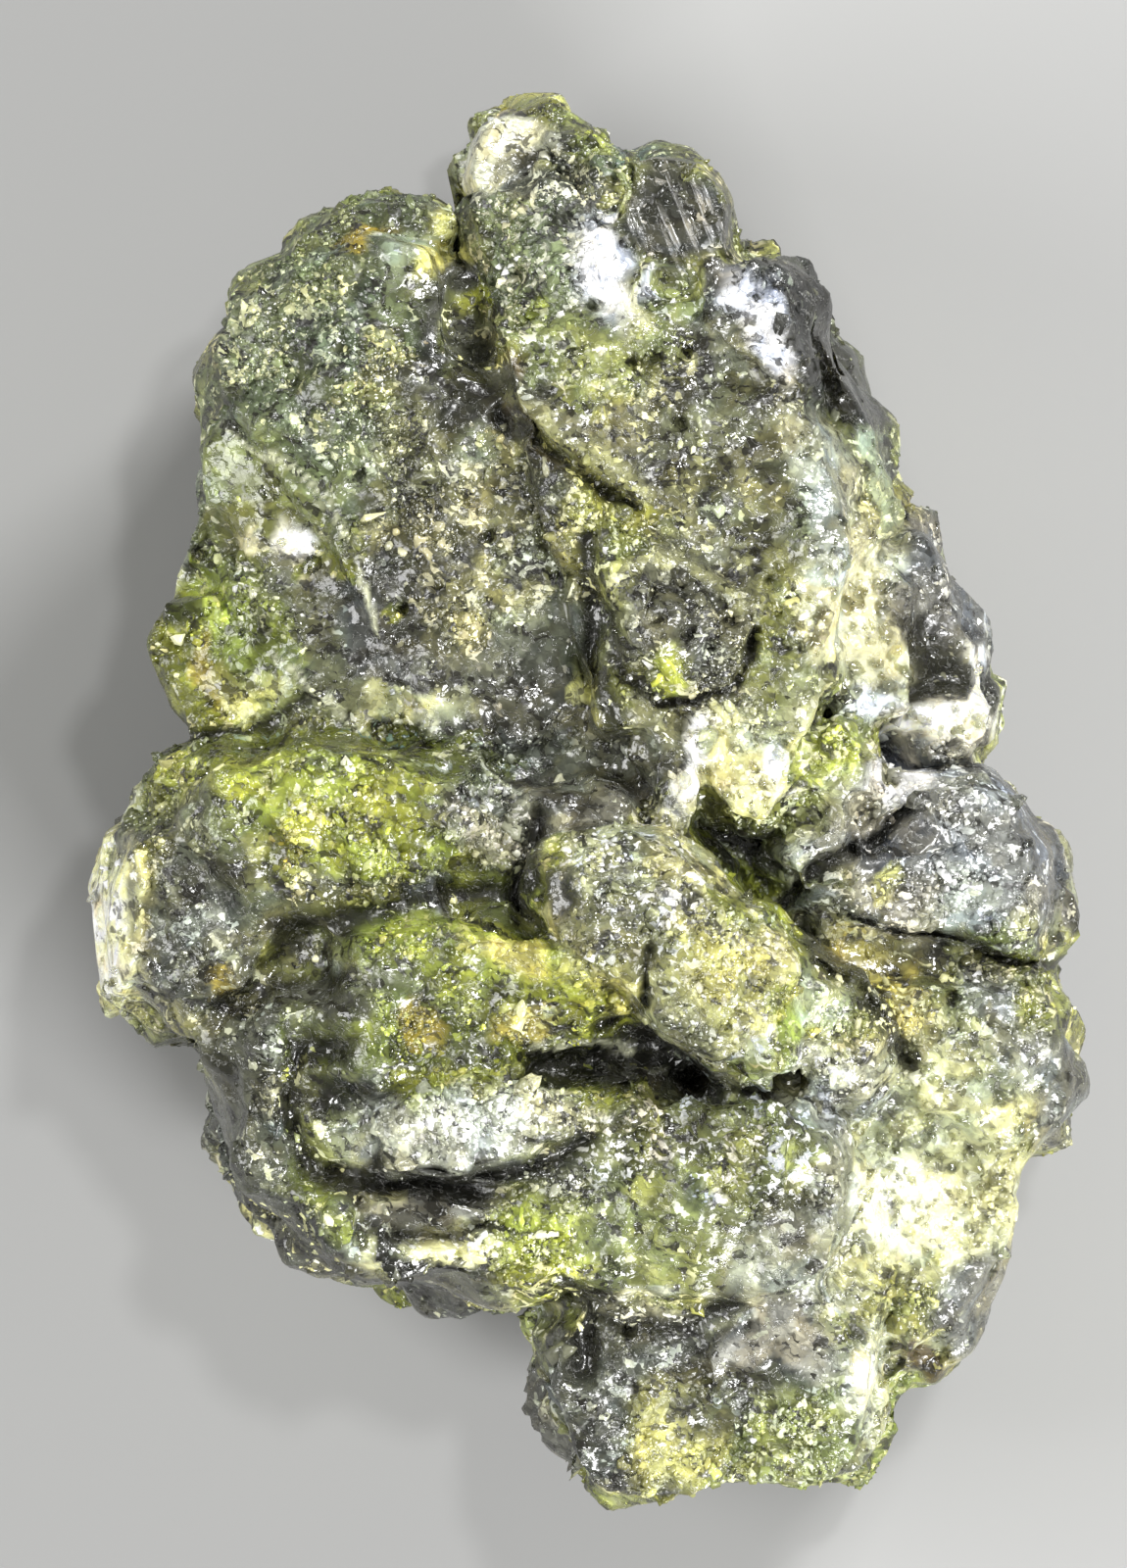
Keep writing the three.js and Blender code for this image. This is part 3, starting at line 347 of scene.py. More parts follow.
def hand_relief(points, up):
    """The change in height of each point that the tables ask for, and how much of it a named face
    takes. `up` is 1 where a point faces the camera."""
    bent = warped(points)
    lift = np.zeros(len(points))
    flat = np.zeros(len(points))
    high = step(5.5, 6.0, points[:, 2])
    near_top = step(6.8, 8.0, points[:, 2])
    for *spot, height in FILLS:
        lift += spot_mask(points, spot, 0.3) * high * np.maximum(height - points[:, 2] - lift, 0)
    for x, y, long, wide, turn, right, top, strength in CLEAVAGE.values():
        inside = spot_mask(bent, (x, y, long, wide, turn), 0.2)
        level = np.average(points[:, 2] + lift, weights=inside * up + 1e-9)
        inside *= near_top
        plane = level + right * (points[:, 0] - x) + top * (points[:, 1] - y)
        pull = np.clip(plane - points[:, 2] - lift, -0.7, 0.7)
        lift += inside * strength * pull
        flat = np.maximum(flat, inside * strength)
    slightly_bent = points * 0.65 + bent * 0.35
    for height, half, _, *chain in LINES.values():
        near = np.clip(1 - line_distance(slightly_bent, chain) / (2 * half), 0, 1)
        lift += height * near * near * (3 - 2 * near) * up
    return lift, flat


# %% [markdown]
# ## Relief by rule
#
# Between the named faces the stone is a crust of small crystals, grown into each other. Space is
# parted into cells, and each cell holds one block with its own place, size and turn. Where a block
# stands out of the surface it shows two or three flat faces, and where two blocks meet there is a
# sharp valley. Three sizes of blocks on top of each other look like crystals grown on crystals.
# Glassy patches keep only a little of it. The flanks keep more of the largest size, and lower down
# they also fall back unevenly, because a broken stone has no straight walls.

# %% Blocks at three sizes
# size of the cells, how much of the blocks' height shows, and the first number of their noise
BREAKS = ((2.3, 0.2, 100), (1.0, 0.34, 110), (0.55, 0.36, 120))
STEEPEST = 0.35
VALLEY = -0.3
TURNS = np.linalg.qr(np.random.default_rng(3).normal(size=(64, 3, 3)))[0]
bent = warped(crisp)
crystals = {salt: crystal_cells(bent, size, salt) for size, _, salt in BREAKS}


def block_heights(points, normals, size, salt):
    """How far blocks stand out of the surface at each point, in millimetres. Above a flat face of a
    block the height is (half width - way along the face's direction) / (how much the face looks
    along the normal). The lowest of the six faces bounds a block, and the highest block shows."""
    highest = np.full(len(points), VALLEY)
    for cube, offset in nearby_cells(points / size, salt):
        turn = TURNS[(hashed(cube, salt + 3) * len(TURNS)).astype(int)]
        along = np.einsum("nij,nj->ni", turn, offset)
        facing = np.einsum("nij,nj->ni", turn, normals)
        half = 0.3 + 0.3 * hashed_triple(cube, salt + 4)
        front = (half - along) / np.maximum(facing, STEEPEST)
        back = (half + along) / np.maximum(-facing, STEEPEST)
        highest = np.maximum(highest, np.minimum(front, back).min(axis=1))
    return highest * size


# %% Colours and textures of each place
PIGMENTS = {
    # black is painted shade: it fills the clefts, the hollows and the dark flank
    "black": (0.012, 0.012, 0.009),
    "charcoal": (0.055, 0.057, 0.040),
    "smoke": (0.16, 0.165, 0.105),
    "violet": (0.110, 0.107, 0.083),
    "mauve": (0.22, 0.21, 0.17),
    "blue": (0.062, 0.064, 0.066),
    "taupe": (0.22, 0.22, 0.105),
    "grey": (0.24, 0.24, 0.215),
    "silver": (0.38, 0.39, 0.29),
    # lilac-white is a painted highlight: the colour of glints on glassy faces and on the edges of striae
    "glint_lilac": (0.70, 0.69, 0.68),
    "pale": (0.50, 0.51, 0.35),
    "white": (0.90, 0.89, 0.80),
    "cream": (0.80, 0.78, 0.52),
    "ivory": (0.86, 0.86, 0.60),
    "mint": (0.42, 0.47, 0.27),
    "stone": (0.25, 0.27, 0.085),
    "greygreen": (0.18, 0.21, 0.095),
    "olive": (0.19, 0.20, 0.05),
    "moss": (0.068, 0.080, 0.013),
    "green": (0.22, 0.25, 0.035),
    "lime": (0.33, 0.37, 0.055),
    "lemon": (0.80, 0.80, 0.42),
    "yellow": (0.56, 0.54, 0.17),
    "gold": (0.46, 0.41, 0.11),
    "orange": (0.40, 0.31, 0.045),
    "brown": (0.15, 0.10, 0.045),
    "teal": (0.07, 0.125, 0.115),
}
PIGMENTS = {name: np.array(colour) for name, colour in PIGMENTS.items()}

# how dark or bright the pigments of a place look, in five steps; besides the stone's own lightness, the step
# of a glint is painted light and the step of a hollow or flank in shade is painted shade
TONES = {"deep": 0.35, "dim": 0.55, "even": 0.8, "full": 1.1, "bright": 1.5}

# ground, speck, tone, grit from 0 (glassy) to 1 (sugary), clearness, and the spot; the spots come
# in the order in which they cover each other
PATCHES = (
    # the upper block
    ("greygreen", "lemon", "dim", 1.0, 0.1, (-5.2, 8.4, 3.0, 3.3, 0)),
    ("greygreen", "mint", "dim", 1.0, 0.1, (-4.0, 11.7, 2.2, 0.9, -4)),
    ("taupe", "cream", "dim", 0.75, 0.0, (-2.2, 5.2, 2.1, 3.2, 20)),
    ("taupe", "lemon", "dim", 0.5, 0.0, (2.9, 6.3, 2.6, 2.6, 0)),
    ("greygreen", "cream", "dim", 1.0, 0.1, (-1.2, 11.2, 1.4, 1.8, 0)),
    ("mint", "white", "even", 0.9, 0.2, (-3.5, 11.3, 0.7, 0.3, 10)),
    ("orange", "gold", "dim", 1.0, 0.0, (-4.5, 11.5, 0.5, 0.3, 0)),
    ("yellow", "lemon", "bright", 1.0, 0.3, (-2.9, 11.8, 0.3, 0.35, 0)),
    ("yellow", "lemon", "bright", 1.0, 0.3, (-2.95, 11.0, 0.35, 0.3, 0)),
    ("charcoal", "silver", "even", 0.45, 0.0, (-2.4, 8.1, 2.1, 0.65, -25)),
    # painted shade: the gap between the upper blocks is painted black
    ("black", "brown", "full", 0.8, 0.0, (-2.8, 9.8, 1.0, 0.45, 80)),
    ("stone", "pale", "even", 0.2, 0.1, (-6.6, 6.5, 1.3, 1.0, -10)),
    ("white", "white", "bright", 0.2, 0.6, (-6.2, 5.45, 0.3, 0.25, 0)),
    ("cream", "white", "full", 0.2, 0.5, (-6.9, 5.5, 0.22, 0.2, 0)),
    ("cream", "white", "bright", 0.2, 0.5, (-6.0, 4.6, 0.2, 0.25, 0)),
    ("charcoal", "mauve", "full", 0.1, 0.0, (-1.1, 2.5, 1.5, 1.1, 15)),
    ("charcoal", "cream", "dim", 0.5, 0.0, (-1.9, 1.1, 2.2, 0.5, 0)),
    ("mint", "lemon", "dim", 0.4, 0.4, (-2.05, 7.1, 0.4, 0.35, 0)),
    ("brown", "cream", "full", 0.5, 0.0, (-1.0, 7.7, 1.1, 0.35, -60)),
    ("lime", "yellow", "dim", 1.0, 0.2, (0.3, 6.6, 1.5, 0.35, -38)),
    ("olive", "lemon", "even", 1.0, 0.2, (0.5, 5.2, 0.8, 1.6, 0)),
    ("charcoal", "silver", "full", 0.9, 0.0, (2.2, 3.5, 1.6, 1.2, -15)),
    ("lime", "lemon", "full", 0.7, 0.4, (1.55, 2.75, 0.5, 0.4, 10)),
    ("yellow", "gold", "bright", 0.8, 0.3, (0.15, 2.5, 0.45, 0.2, 80)),
    ("olive", "yellow", "dim", 1.0, 0.1, (4.0, 2.6, 0.9, 0.9, 0)),
    # the tip and the right shoulder
    ("cream", "white", "full", 0.05, 0.2, (-1.65, 13.1, 0.95, 0.9, 0)),
    ("olive", "lime", "even", 0.8, 0.2, (-0.5, 14.0, 1.7, 0.3, -22)),
    ("charcoal", "cream", "full", 0.9, 0.0, (-0.6, 12.6, 1.2, 0.5, -10)),
    ("teal", "mint", "even", 0.7, 0.2, (1.2, 13.1, 0.9, 0.25, 0)),
    # painted highlight: the lilac specks and stripes on the dark striped crystal
    ("blue", "glint_lilac", "deep", 0.1, 0.2, (1.9, 11.8, 1.1, 1.0, 60)),
    # painted highlight: the glint on the face under the tip is painted bright lilac-white
    ("glint_lilac", "white", "bright", 0.4, 0.2, (0.5, 10.8, 1.2, 0.55, -74)),
    ("lime", "lemon", "bright", 1.0, 0.2, (-2.45, 9.9, 0.45, 0.3, 60)),
    ("lime", "lemon", "even", 1.0, 0.2, (-0.85, 9.9, 0.35, 0.25, 0)),
    # painted shade: the flank at the upper right, turned away from the light, is painted black
    ("black", "smoke", "dim", 0.35, 0.1, (5.1, 9.3, 2.2, 0.9, -58)),
    ("smoke", "silver", "even", 0.3, 0.1, (2.9, 9.2, 0.9, 0.7, 0)),
    # painted highlight: the glint along the shoulder face is painted lilac-white
    ("glint_lilac", "white", "full", 0.35, 0.2, (3.6, 9.6, 1.3, 0.35, -68)),
    ("pale", "white", "dim", 0.3, 0.4, (4.75, 6.4, 1.9, 0.4, -70)),
    ("mint", "lemon", "even", 0.6, 0.5, (5.9, 6.6, 1.0, 0.4, -75)),
    # the ear at the left
    ("green", "lemon", "even", 0.9, 0.3, (-7.3, 3.0, 1.6, 1.5, -30)),
    ("lime", "yellow", "bright", 0.7, 0.5, (-7.8, 4.0, 0.6, 0.5, 30)),
    ("moss", "lime", "even", 0.5, 0.2, (-8.3, 3.9, 0.3, 0.35, 0)),
    ("orange", "gold", "even", 0.8, 0.3, (-7.75, 2.9, 0.75, 0.22, -80)),
    ("yellow", "lemon", "bright", 0.9, 0.4, (-6.6, 2.2, 0.9, 0.5, -15)),
    ("taupe", "cream", "dim", 0.3, 0.0, (-5.4, 3.6, 0.5, 1.4, 30)),
    # the pale clear crystals at the right
    ("ivory", "white", "even", 0.3, 1.0, (5.8, 3.8, 1.1, 1.5, -10)),
    ("grey", "white", "dim", 0.3, 0.4, (7.3, 4.4, 0.8, 1.7, 15)),
    ("charcoal", "silver", "deep", 0.3, 0.2, (7.0, 3.1, 0.5, 0.9, 0)),
    # painted light: a bright white band along the right edge, where light from behind catches it
    ("white", "white", "bright", 0.1, 1.0, (8.0, 2.1, 1.1, 0.28, -82)),
    ("white", "white", "full", 0.3, 1.0, (5.8, 1.95, 0.5, 0.4, 0)),
    # painted light: the shadowed valley between the lobes is painted white where small glints sit
    ("white", "white", "bright", 0.4, 0.9, (7.3, 1.5, 1.1, 0.5, 0)),
    # the seam across the middle
    ("smoke", "silver", "dim", 0.7, 0.0, (0.6, 1.0, 2.0, 0.8, -5)),
    ("lemon", "cream", "even", 0.6, 0.7, (2.9, 0.8, 0.8, 0.8, 0)),
    ("lime", "lemon", "even", 0.9, 0.4, (5.1, 0.8, 1.0, 0.5, -10)),
    # painted highlights: the two small glints across the seam are painted bright white
    ("white", "white", "bright", 0.3, 0.7, (1.9, 0.5, 1.0, 0.26, 75)),
    ("white", "white", "bright", 0.2, 0.7, (3.9, 0.9, 0.6, 0.28, -80)),
    # painted shade: the hollow below the seam is painted black
    ("black", "silver", "full", 0.3, 0.0, (3.1, -0.9, 0.8, 0.55, -25)),
    ("silver", "white", "full", 0.3, 0.1, (4.75, -0.9, 0.9, 0.5, 35)),
    # the right lobes
    ("grey", "white", "even", 0.7, 0.2, (7.4, -1.0, 2.6, 1.9, 0)),
    # painted highlight: the lilac-white glint of the right lobe
    ("glint_lilac", "white", "even", 0.2, 0.2, (6.5, 0.35, 0.55, 0.4, 30)),
    # painted highlight: lilac specks on the smooth face of the right lobe
    ("blue", "glint_lilac", "full", 0.1, 0.1, (6.4, -0.8, 0.9, 0.55, 15)),
    # painted highlight: white sparkle on the right lobe
    ("silver", "white", "full", 0.7, 0.3, (7.7, -2.1, 0.7, 0.6, 0)),
    ("yellow", "lemon", "bright", 0.6, 0.4, (6.3, -1.5, 0.25, 0.3, 0)),
    ("grey", "white", "dim", 0.4, 0.6, (9.4, -1.3, 0.5, 1.6, 10)),
    ("moss", "lime", "bright", 0.6, 0.2, (8.5, -3.0, 0.9, 0.2, -12)),
    ("olive", "lemon", "dim", 1.0, 0.1, (7.3, -4.6, 2.0, 1.4, -20)),
    ("gold", "lemon", "even", 1.0, 0.3, (5.9, -3.6, 1.2, 0.55, -48)),
    ("gold", "lemon", "dim", 0.9, 0.3, (7.8, -4.9, 0.5, 0.4, 0)),
    ("grey", "pale", "dim", 0.15, 0.1, (9.5, -6.0, 0.8, 1.4, 0)),
    ("silver", "white", "dim", 0.7, 0.5, (8.9, -5.0, 0.5, 1.8, 30)),
    ("grey", "silver", "dim", 0.4, 0.0, (6.1, -5.1, 0.8, 0.45, -20)),
    # the clear mass at the lower right
    ("lemon", "ivory", "even", 0.4, 0.6, (7.0, -7.9, 2.0, 3.3, 0)),
    ("ivory", "white", "full", 0.25, 0.7, (6.4, -8.2, 1.1, 0.9, 0)),
    ("olive", "yellow", "even", 1.0, 0.4, (6.5, -10.4, 1.1, 0.8, 0)),
    ("grey", "pale", "dim", 0.2, 0.3, (8.1, -10.3, 0.9, 1.2, 0)),
    ("brown", "gold", "dim", 0.8, 0.0, (6.9, -11.6, 0.8, 0.3, 0)),
    ("ivory", "white", "full", 0.4, 0.7, (5.6, -12.3, 1.4, 0.4, 85)),
    ("mauve", "silver", "dim", 0.4, 0.0, (5.0, -13.4, 0.7, 0.45, 0)),
    # the green lobe and its dark side at the left
    ("green", "lime", "even", 1.0, 0.2, (-5.2, -0.3, 3.9, 1.7, -10)),
    ("lime", "lemon", "even", 1.0, 0.3, (-6.0, 0.2, 2.4, 0.8, -12)),
    ("moss", "teal", "full", 0.7, 0.0, (-4.6, 1.15, 3.3, 0.22, -3)),
    ("silver", "white", "dim", 0.9, 0.1, (-1.8, -0.3, 1.2, 0.8, -10)),
    ("olive", "orange", "dim", 0.9, 0.1, (-6.4, -1.2, 0.55, 0.35, 0)),
    ("charcoal", "cream", "full", 0.9, 0.0, (-4.2, -2.0, 2.3, 0.6, -3)),
    # painted highlight: a small lilac-white glint
    ("glint_lilac", "white", "bright", 0.2, 0.1, (-3.3, -1.9, 0.4, 0.15, 0)),
    ("charcoal", "silver", "full", 0.6, 0.0, (-8.0, -2.4, 1.2, 2.3, -5)),
    # partly painted light: the left face is a pale lemon crystal, and the bright white on it is the light
    # along that edge, painted
    ("lemon", "white", "bright", 0.3, 0.3, (-9.7, -2.8, 0.75, 1.8, 0)),
    ("white", "white", "full", 0.1, 0.35, (-9.7, -3.4, 0.4, 0.5, 0)),
    ("white", "white", "bright", 0.1, 0.35, (-9.85, -2.2, 0.35, 0.4, 0)),
    ("orange", "gold", "bright", 0.6, 0.3, (-7.3, -3.6, 0.25, 0.2, 0)),
    # the two tongues
    ("green", "lime", "even", 0.9, 0.2, (-2.3, -3.1, 3.1, 1.0, -14)),
    ("lime", "yellow", "even", 0.9, 0.4, (-3.0, -2.7, 1.5, 0.5, -14)),
    ("gold", "yellow", "full", 0.9, 0.4, (-1.6, -3.1, 0.8, 0.4, -20)),
    ("yellow", "yellow", "even", 0.7, 0.6, (0.4, -3.6, 0.8, 0.6, -20)),
    ("moss", "lime", "full", 0.9, 0.1, (-2.6, -4.8, 3.4, 0.8, -4)),
    ("orange", "yellow", "even", 0.9, 0.4, (-3.3, -4.5, 0.4, 0.35, 0)),
    ("gold", "lemon", "even", 0.9, 0.4, (-1.3, -4.6, 0.6, 0.3, 0)),
    ("green", "yellow", "even", 0.8, 0.3, (-3.2, -5.7, 0.8, 0.3, 10)),
    # painted shade: the hollow under the tongues is painted black
    ("black", "moss", "full", 0.4, 0.0, (0.9, -5.3, 1.3, 0.4, 5)),
    # the bowl
    ("charcoal", "silver", "full", 0.9, 0.0, (-6.7, -5.8, 1.2, 2.6, 0)),
    ("black", "silver", "dim", 0.3, 0.0, (-5.5, -3.8, 1.0, 0.32, 10)),
    ("charcoal", "lemon", "full", 0.9, 0.0, (-5.7, -8.7, 1.9, 0.7, -35)),
    ("moss", "lime", "bright", 0.6, 0.1, (-5.9, -5.9, 0.15, 1.5, 5)),
    ("black", "violet", "deep", 0.3, 0.0, (-4.7, -5.9, 0.9, 0.5, -8)),
    ("silver", "white", "full", 0.8, 0.2, (-2.2, -6.6, 2.3, 0.75, 5)),
    ("smoke", "white", "even", 0.8, 0.0, (0.9, -6.8, 1.5, 0.8, 10)),
    # painted shade: the cleft under the shelf is painted black
    ("black", "violet", "full", 0.4, 0.0, (-3.0, -7.6, 2.0, 0.25, -2)),
    ("violet", "silver", "bright", 0.15, 0.0, (-3.0, -8.2, 1.7, 0.34, -3)),
    ("lemon", "white", "bright", 0.9, 0.2, (-2.2, -8.8, 1.4, 0.4, -8)),
    ("charcoal", "silver", "dim", 0.3, 0.0, (-3.0, -9.8, 1.8, 0.5, -8)),
    # the front lobe
    ("taupe", "white", "even", 0.95, 0.1, (1.2, -2.2, 1.8, 1.4, -35)),
    ("blue", "violet", "dim", 0.15, 0.0, (-0.4, -1.8, 0.5, 0.65, 10)),
    ("yellow", "cream", "dim", 1.0, 0.3, (2.8, -3.5, 1.5, 1.1, -50)),
    ("green", "mint", "even", 0.9, 0.3, (3.3, -1.9, 1.9, 0.35, -47)),
    ("taupe", "pale", "dim", 0.5, 0.1, (1.9, -4.8, 0.9, 0.6, -30)),
    ("olive", "orange", "dim", 0.8, 0.0, (3.0, -5.4, 0.6, 0.3, 0)),
    ("lime", "yellow", "even", 0.8, 0.4, (4.2, -4.5, 1.0, 0.3, -85)),
    ("mint", "cream", "full", 0.7, 0.4, (4.75, -4.2, 0.9, 0.28, -80)),
    # painted shade: the front crevice is painted black
    ("black", "moss", "even", 0.5, 0.0, (-1.2, -1.3, 1.0, 0.28, 65)),
    # the middle below it and the foot
    ("silver", "white", "even", 0.8, 0.1, (5.0, -5.8, 1.0, 0.9, 0)),
    ("stone", "white", "dim", 0.9, 0.0, (2.4, -7.2, 2.3, 1.2, 0)),
    ("silver", "white", "dim", 0.6, 0.2, (4.9, -7.2, 0.35, 1.4, 0)),
    ("stone", "lemon", "even", 1.0, 0.1, (0.7, -9.1, 2.6, 1.2, -4)),
    ("green", "lemon", "full", 1.0, 0.1, (-0.8, -9.2, 0.8, 1.2, 20)),
    ("pale", "white", "bright", 0.9, 0.2, (1.6, -10.2, 1.6, 0.2, 0)),
    ("pale", "white", "dim", 0.4, 0.1, (4.0, -9.7, 1.3, 0.9, 0)),
    ("charcoal", "silver", "full", 0.6, 0.0, (0.6, -11.7, 1.6, 1.5, 0)),
    ("mauve", "silver", "full", 0.15, 0.0, (3.8, -11.1, 1.4, 0.85, 0)),
    ("olive", "lemon", "full", 0.9, 0.2, (3.6, -13.0, 2.2, 0.9, 8)),
    ("yellow", "yellow", "even", 0.9, 0.4, (1.7, -13.0, 0.9, 0.9, 0)),
    ("taupe", "silver", "dim", 0.3, 0.0, (2.9, -12.3, 1.5, 0.35, 15)),
)

# %% [markdown]
# The flanks and what the camera doesn't see are worked out by rule from the same pigments: slanting
# bands of charcoal, olive and green with pale pockets, as broken pieces of this mineral show them.
# The patches of the front fade into them unevenly a few millimetres below its edge.

# %% Colours over the whole surface
FLANK_BANDS = (
    ("stone", "cream", "even", 0.9, 0.1),
    ("charcoal", "silver", "even", 0.6, 0.0),
    ("olive", "lemon", "even", 1.0, 0.2),
    ("smoke", "silver", "even", 0.5, 0.1),
    ("green", "yellow", "even", 0.9, 0.3),
    ("violet", "silver", "even", 0.3, 0.0),
    ("taupe", "cream", "even", 0.8, 0.1),
    ("lemon", "white", "even", 0.5, 0.8),
)


# columns of a look: the ground colour, the speck colour (three numbers each), and then these
GRIT, CLEAR, STRIPE = 6, 7, 8
# 1 on the side in view, and fading unevenly down the flanks
in_sight = step(3.5, 7.0, bent[:, 2] + 1.5 * rough_noise(bent, 2.5, 80))


def finish_of(entry):
    """Ground and speck colour, grit and clearness in one row of eight numbers."""
    ground, speck, name, grit, clear = entry[:5]
    tone = TONES[name]
    return np.concatenate([PIGMENTS[ground] * tone, PIGMENTS[speck] * tone**0.5, [grit, clear]])


def finishes():
    """The row of eight for each point: bands on the flanks, and the patches on the side in view."""
    slanted = bent @ np.array([[1.0, 0.25, 0.0], [-0.2, 1.0, 0.15], [0.35, 0.3, 1.5]])
    _, cell = crystal_cells(slanted, 4.2, 60)
    choice = np.floor(hashed(cell, 66) ** 1.25 * len(FLANK_BANDS)).astype(int)
    values = np.array([finish_of(entry) for entry in FLANK_BANDS])[choice]
    for entry in PATCHES:
        cover = (spot_mask(bent, entry[5], 0.4) * in_sight * 0.94)[:, None]
        values = values * (1 - cover) + finish_of(entry) * cover
    return values


# %% [markdown]
# No two crystals in a patch are quite alike. Each one of the cells that shape the relief gets its own tone:
# most stay near the colour of the patch, some are glassy and dark, and a few are milky. The grooves between
# them, where the blocks of the relief meet in valleys, are darker as painted shade. The listed lines get
# their colour last: black along the clefts is painted shade, and pale along the ridges is painted highlight.

# %% Own tone of each crystal


def own_tones(values, salt, spread):
    """Multiplies the colours in each crystal by a random factor, and makes some of them glassy or dark."""
    border, cell = crystals[salt]
    spread = spread * (1 - 0.7 * values[:, CLEAR])
    tone = np.exp(spread * (hashed(cell, salt + 20) + hashed(cell, salt + 21) - 0.9))
    tone *= np.where(hashed(cell, salt + 22) > 0.93 + values[:, CLEAR], 0.5, 1.0)
    warmth = 1 + 0.2 * (hashed(cell, salt + 23)[:, None] - 0.5) * (1, 0.5, -0.7)
    glassy = hashed(cell, salt + 24) > 0.8
    # painted shade: darker along the borders between crystals, where the blocks of the relief meet in valleys
    groove = 0.75 + 0.25 * step(0, 0.14, border)
    values[:, :3] *= (tone * groove)[:, None] * warmth
    values[:, 3:6] *= (tone**0.6)[:, None] * warmth
    values[:, GRIT] *= np.where(glassy, 0.35, 1.0)


def drawn_lines(values, points):
    """The colour of each ridge and cleft, along its line: painted shade in the black clefts and the charcoal
    gap, painted highlight on the pale ridges.
    """
    slightly_bent = points * 0.65 + bent * 0.35
    for _, half, line_colour, *chain in LINES.values():
        cover = (1 - step(0.4 * half, 1.6 * half, line_distance(slightly_bent, chain))) * in_sight * 0.9
        values[:, :3] += cover[:, None] * (PIGMENTS[line_colour] - values[:, :3])
        values[:, GRIT] *= 1 - 0.6 * cover


# where fine parallel striae run over the crystals: (x, y, half length, half width, turn, strength)
STRIATED = (
    (1.9, 11.8, 1.0, 0.8, 60, 1.0),
    (0.5, 10.8, 1.0, 0.45, -74, 0.4),
    (-2.2, -6.6, 2.2, 0.7, 5, 0.8),
    (-8.0, -2.4, 1.1, 2.0, -5, 0.6),
    (-9.7, -2.8, 0.6, 1.8, 0, 0.3),
    (4.9, -7.2, 0.4, 1.4, 0, 0.5),
    (1.9, 0.4, 0.5, 0.9, -10, 0.6),
)
look = finishes()
own_tones(look, 100, 0.9 * (1 - in_sight))
own_tones(look, 110, 0.35)
own_tones(look, 120, 0.5)
drawn_lines(look, crisp)
look = np.clip(look, 0.004, 0.95)
striae = np.max([spot_mask(bent, spot[:5], 0.3) * spot[5] for spot in STRIATED], axis=0)
look = np.column_stack([look, striae * step(5.0, 6.0, crisp[:, 2])])

# %% Shape of the skin
normals = point_normals(soft, faces)
grit = look[:, GRIT]
points = crisp + (soft - crisp) * (0.1 + 0.35 * grit[:, None])
above_floor = step(0.05, 0.9, points[:, 2])
up = step(0.25, 0.7, normals[:, 2]) * step(6.5, 8.0, points[:, 2])
lift, flat = hand_relief(points, up)
points[:, 2] += lift
flank = (1 - step(4.0, 9.0, points[:, 2])) * (1 - step(0.1, 0.7, np.abs(normals[:, 2])))
hollows = step(-0.4, 0.6, rough_noise(points, 4.5, 30))
push = 0.06 * rough_noise(points, 2.6, 10) - 0.75 * flank * hollows
ragged = points * 0.7 + bent * 0.3
calm = 1 - 0.6 * look[:, CLEAR]
upright = 0.35 + 0.65 * step(0.1, 0.7, np.abs(normals[:, 2]))
for size, tilt, salt in BREAKS:
    heights = block_heights(ragged, normals, size, salt)
    if size < 2:
        share = (0.12 + 0.88 * grit) * (1 - 0.5 * flat) * upright
    else:
        share = (1 - 0.8 * flat) * (1 + 1.3 * flank)
    push += tilt * share * calm * (heights - heights.mean())
push += 0.05 * grit * noise(points, 0.28, 20)
points += normals * (push * above_floor)[:, None]
pit = np.min([np.hypot(points[:, 0] - x, points[:, 1] - y) for x, y in NAMED_PITS], axis=0)
points[:, 2] -= 0.28 * (1 - step(0.07, 0.2, pit)) * up
reach = np.abs(crisp).max(axis=0) * 1.01
points = np.clip(points, -reach, reach)
points[:, 2] = np.clip(points[:, 2], 0, reach[2])
print("relief pushed the skin by", round(float(np.abs(push).max()), 2), "mm at most")

# %% [markdown]
# ## Meshes out of arrays
#
# All pieces of the specimen are made the same way: an array of points in millimetres and an array of
# corners go straight into a mesh in metres. The colours of a place travel with the points as
# attributes, which every later tool can read, unlike a texture that needs a map.

# %% Pieces out of arrays
SHARP = np.radians(50)


def new_mesh(name, points, corners, sides):
    """A mesh from points in millimetres and faces that all have the same number of sides."""
    mesh = bpy.data.meshes.new(name)
    mesh.vertices.add(len(points))
    mesh.vertices.foreach_set("co", (points * MM).astype(np.float32).ravel())
    mesh.loops.add(len(corners))
    mesh.loops.foreach_set("vertex_index", corners.astype(np.int32))
    mesh.polygons.add(len(corners) // sides)
    mesh.polygons.foreach_set("loop_start", np.arange(0, len(corners), sides, dtype=np.int32))
    mesh.update(calc_edges=True)
    return mesh


def add_colour(mesh, name, colours):
    """One colour for each point of the mesh."""
    opaque = np.concatenate([colours, np.ones((len(colours), 1))], axis=1)
    layer = mesh.attributes.new(name, "FLOAT_COLOR", "POINT")
    layer.data.foreach_set("color", opaque.astype(np.float32).ravel())


def add_number(mesh, name, values):
    """One number for each point of the mesh."""
    mesh.attributes.new(name, "FLOAT", "POINT").data.foreach_set("value", values.astype(np.float32))


def add_piece(name, mesh, material):
    """An object at the origin that rides on the body and takes the given finish."""
    piece = bpy.data.objects.new(name, mesh)
    bpy.context.scene.collection.objects.link(piece)
    mesh.materials.append(material)
    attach(piece, BODY)
    print(name, len(mesh.loops) - 2 * len(mesh.polygons), "triangles")
    return piece


# %% [markdown]
# ## Finishes
#
# A finish is a small network of shader nodes. Two helpers keep it readable: a value that can be
# added, multiplied and so on like a number, and one method that makes any node from its type, its
# settings and its inputs.

# %% Helpers for shader networks


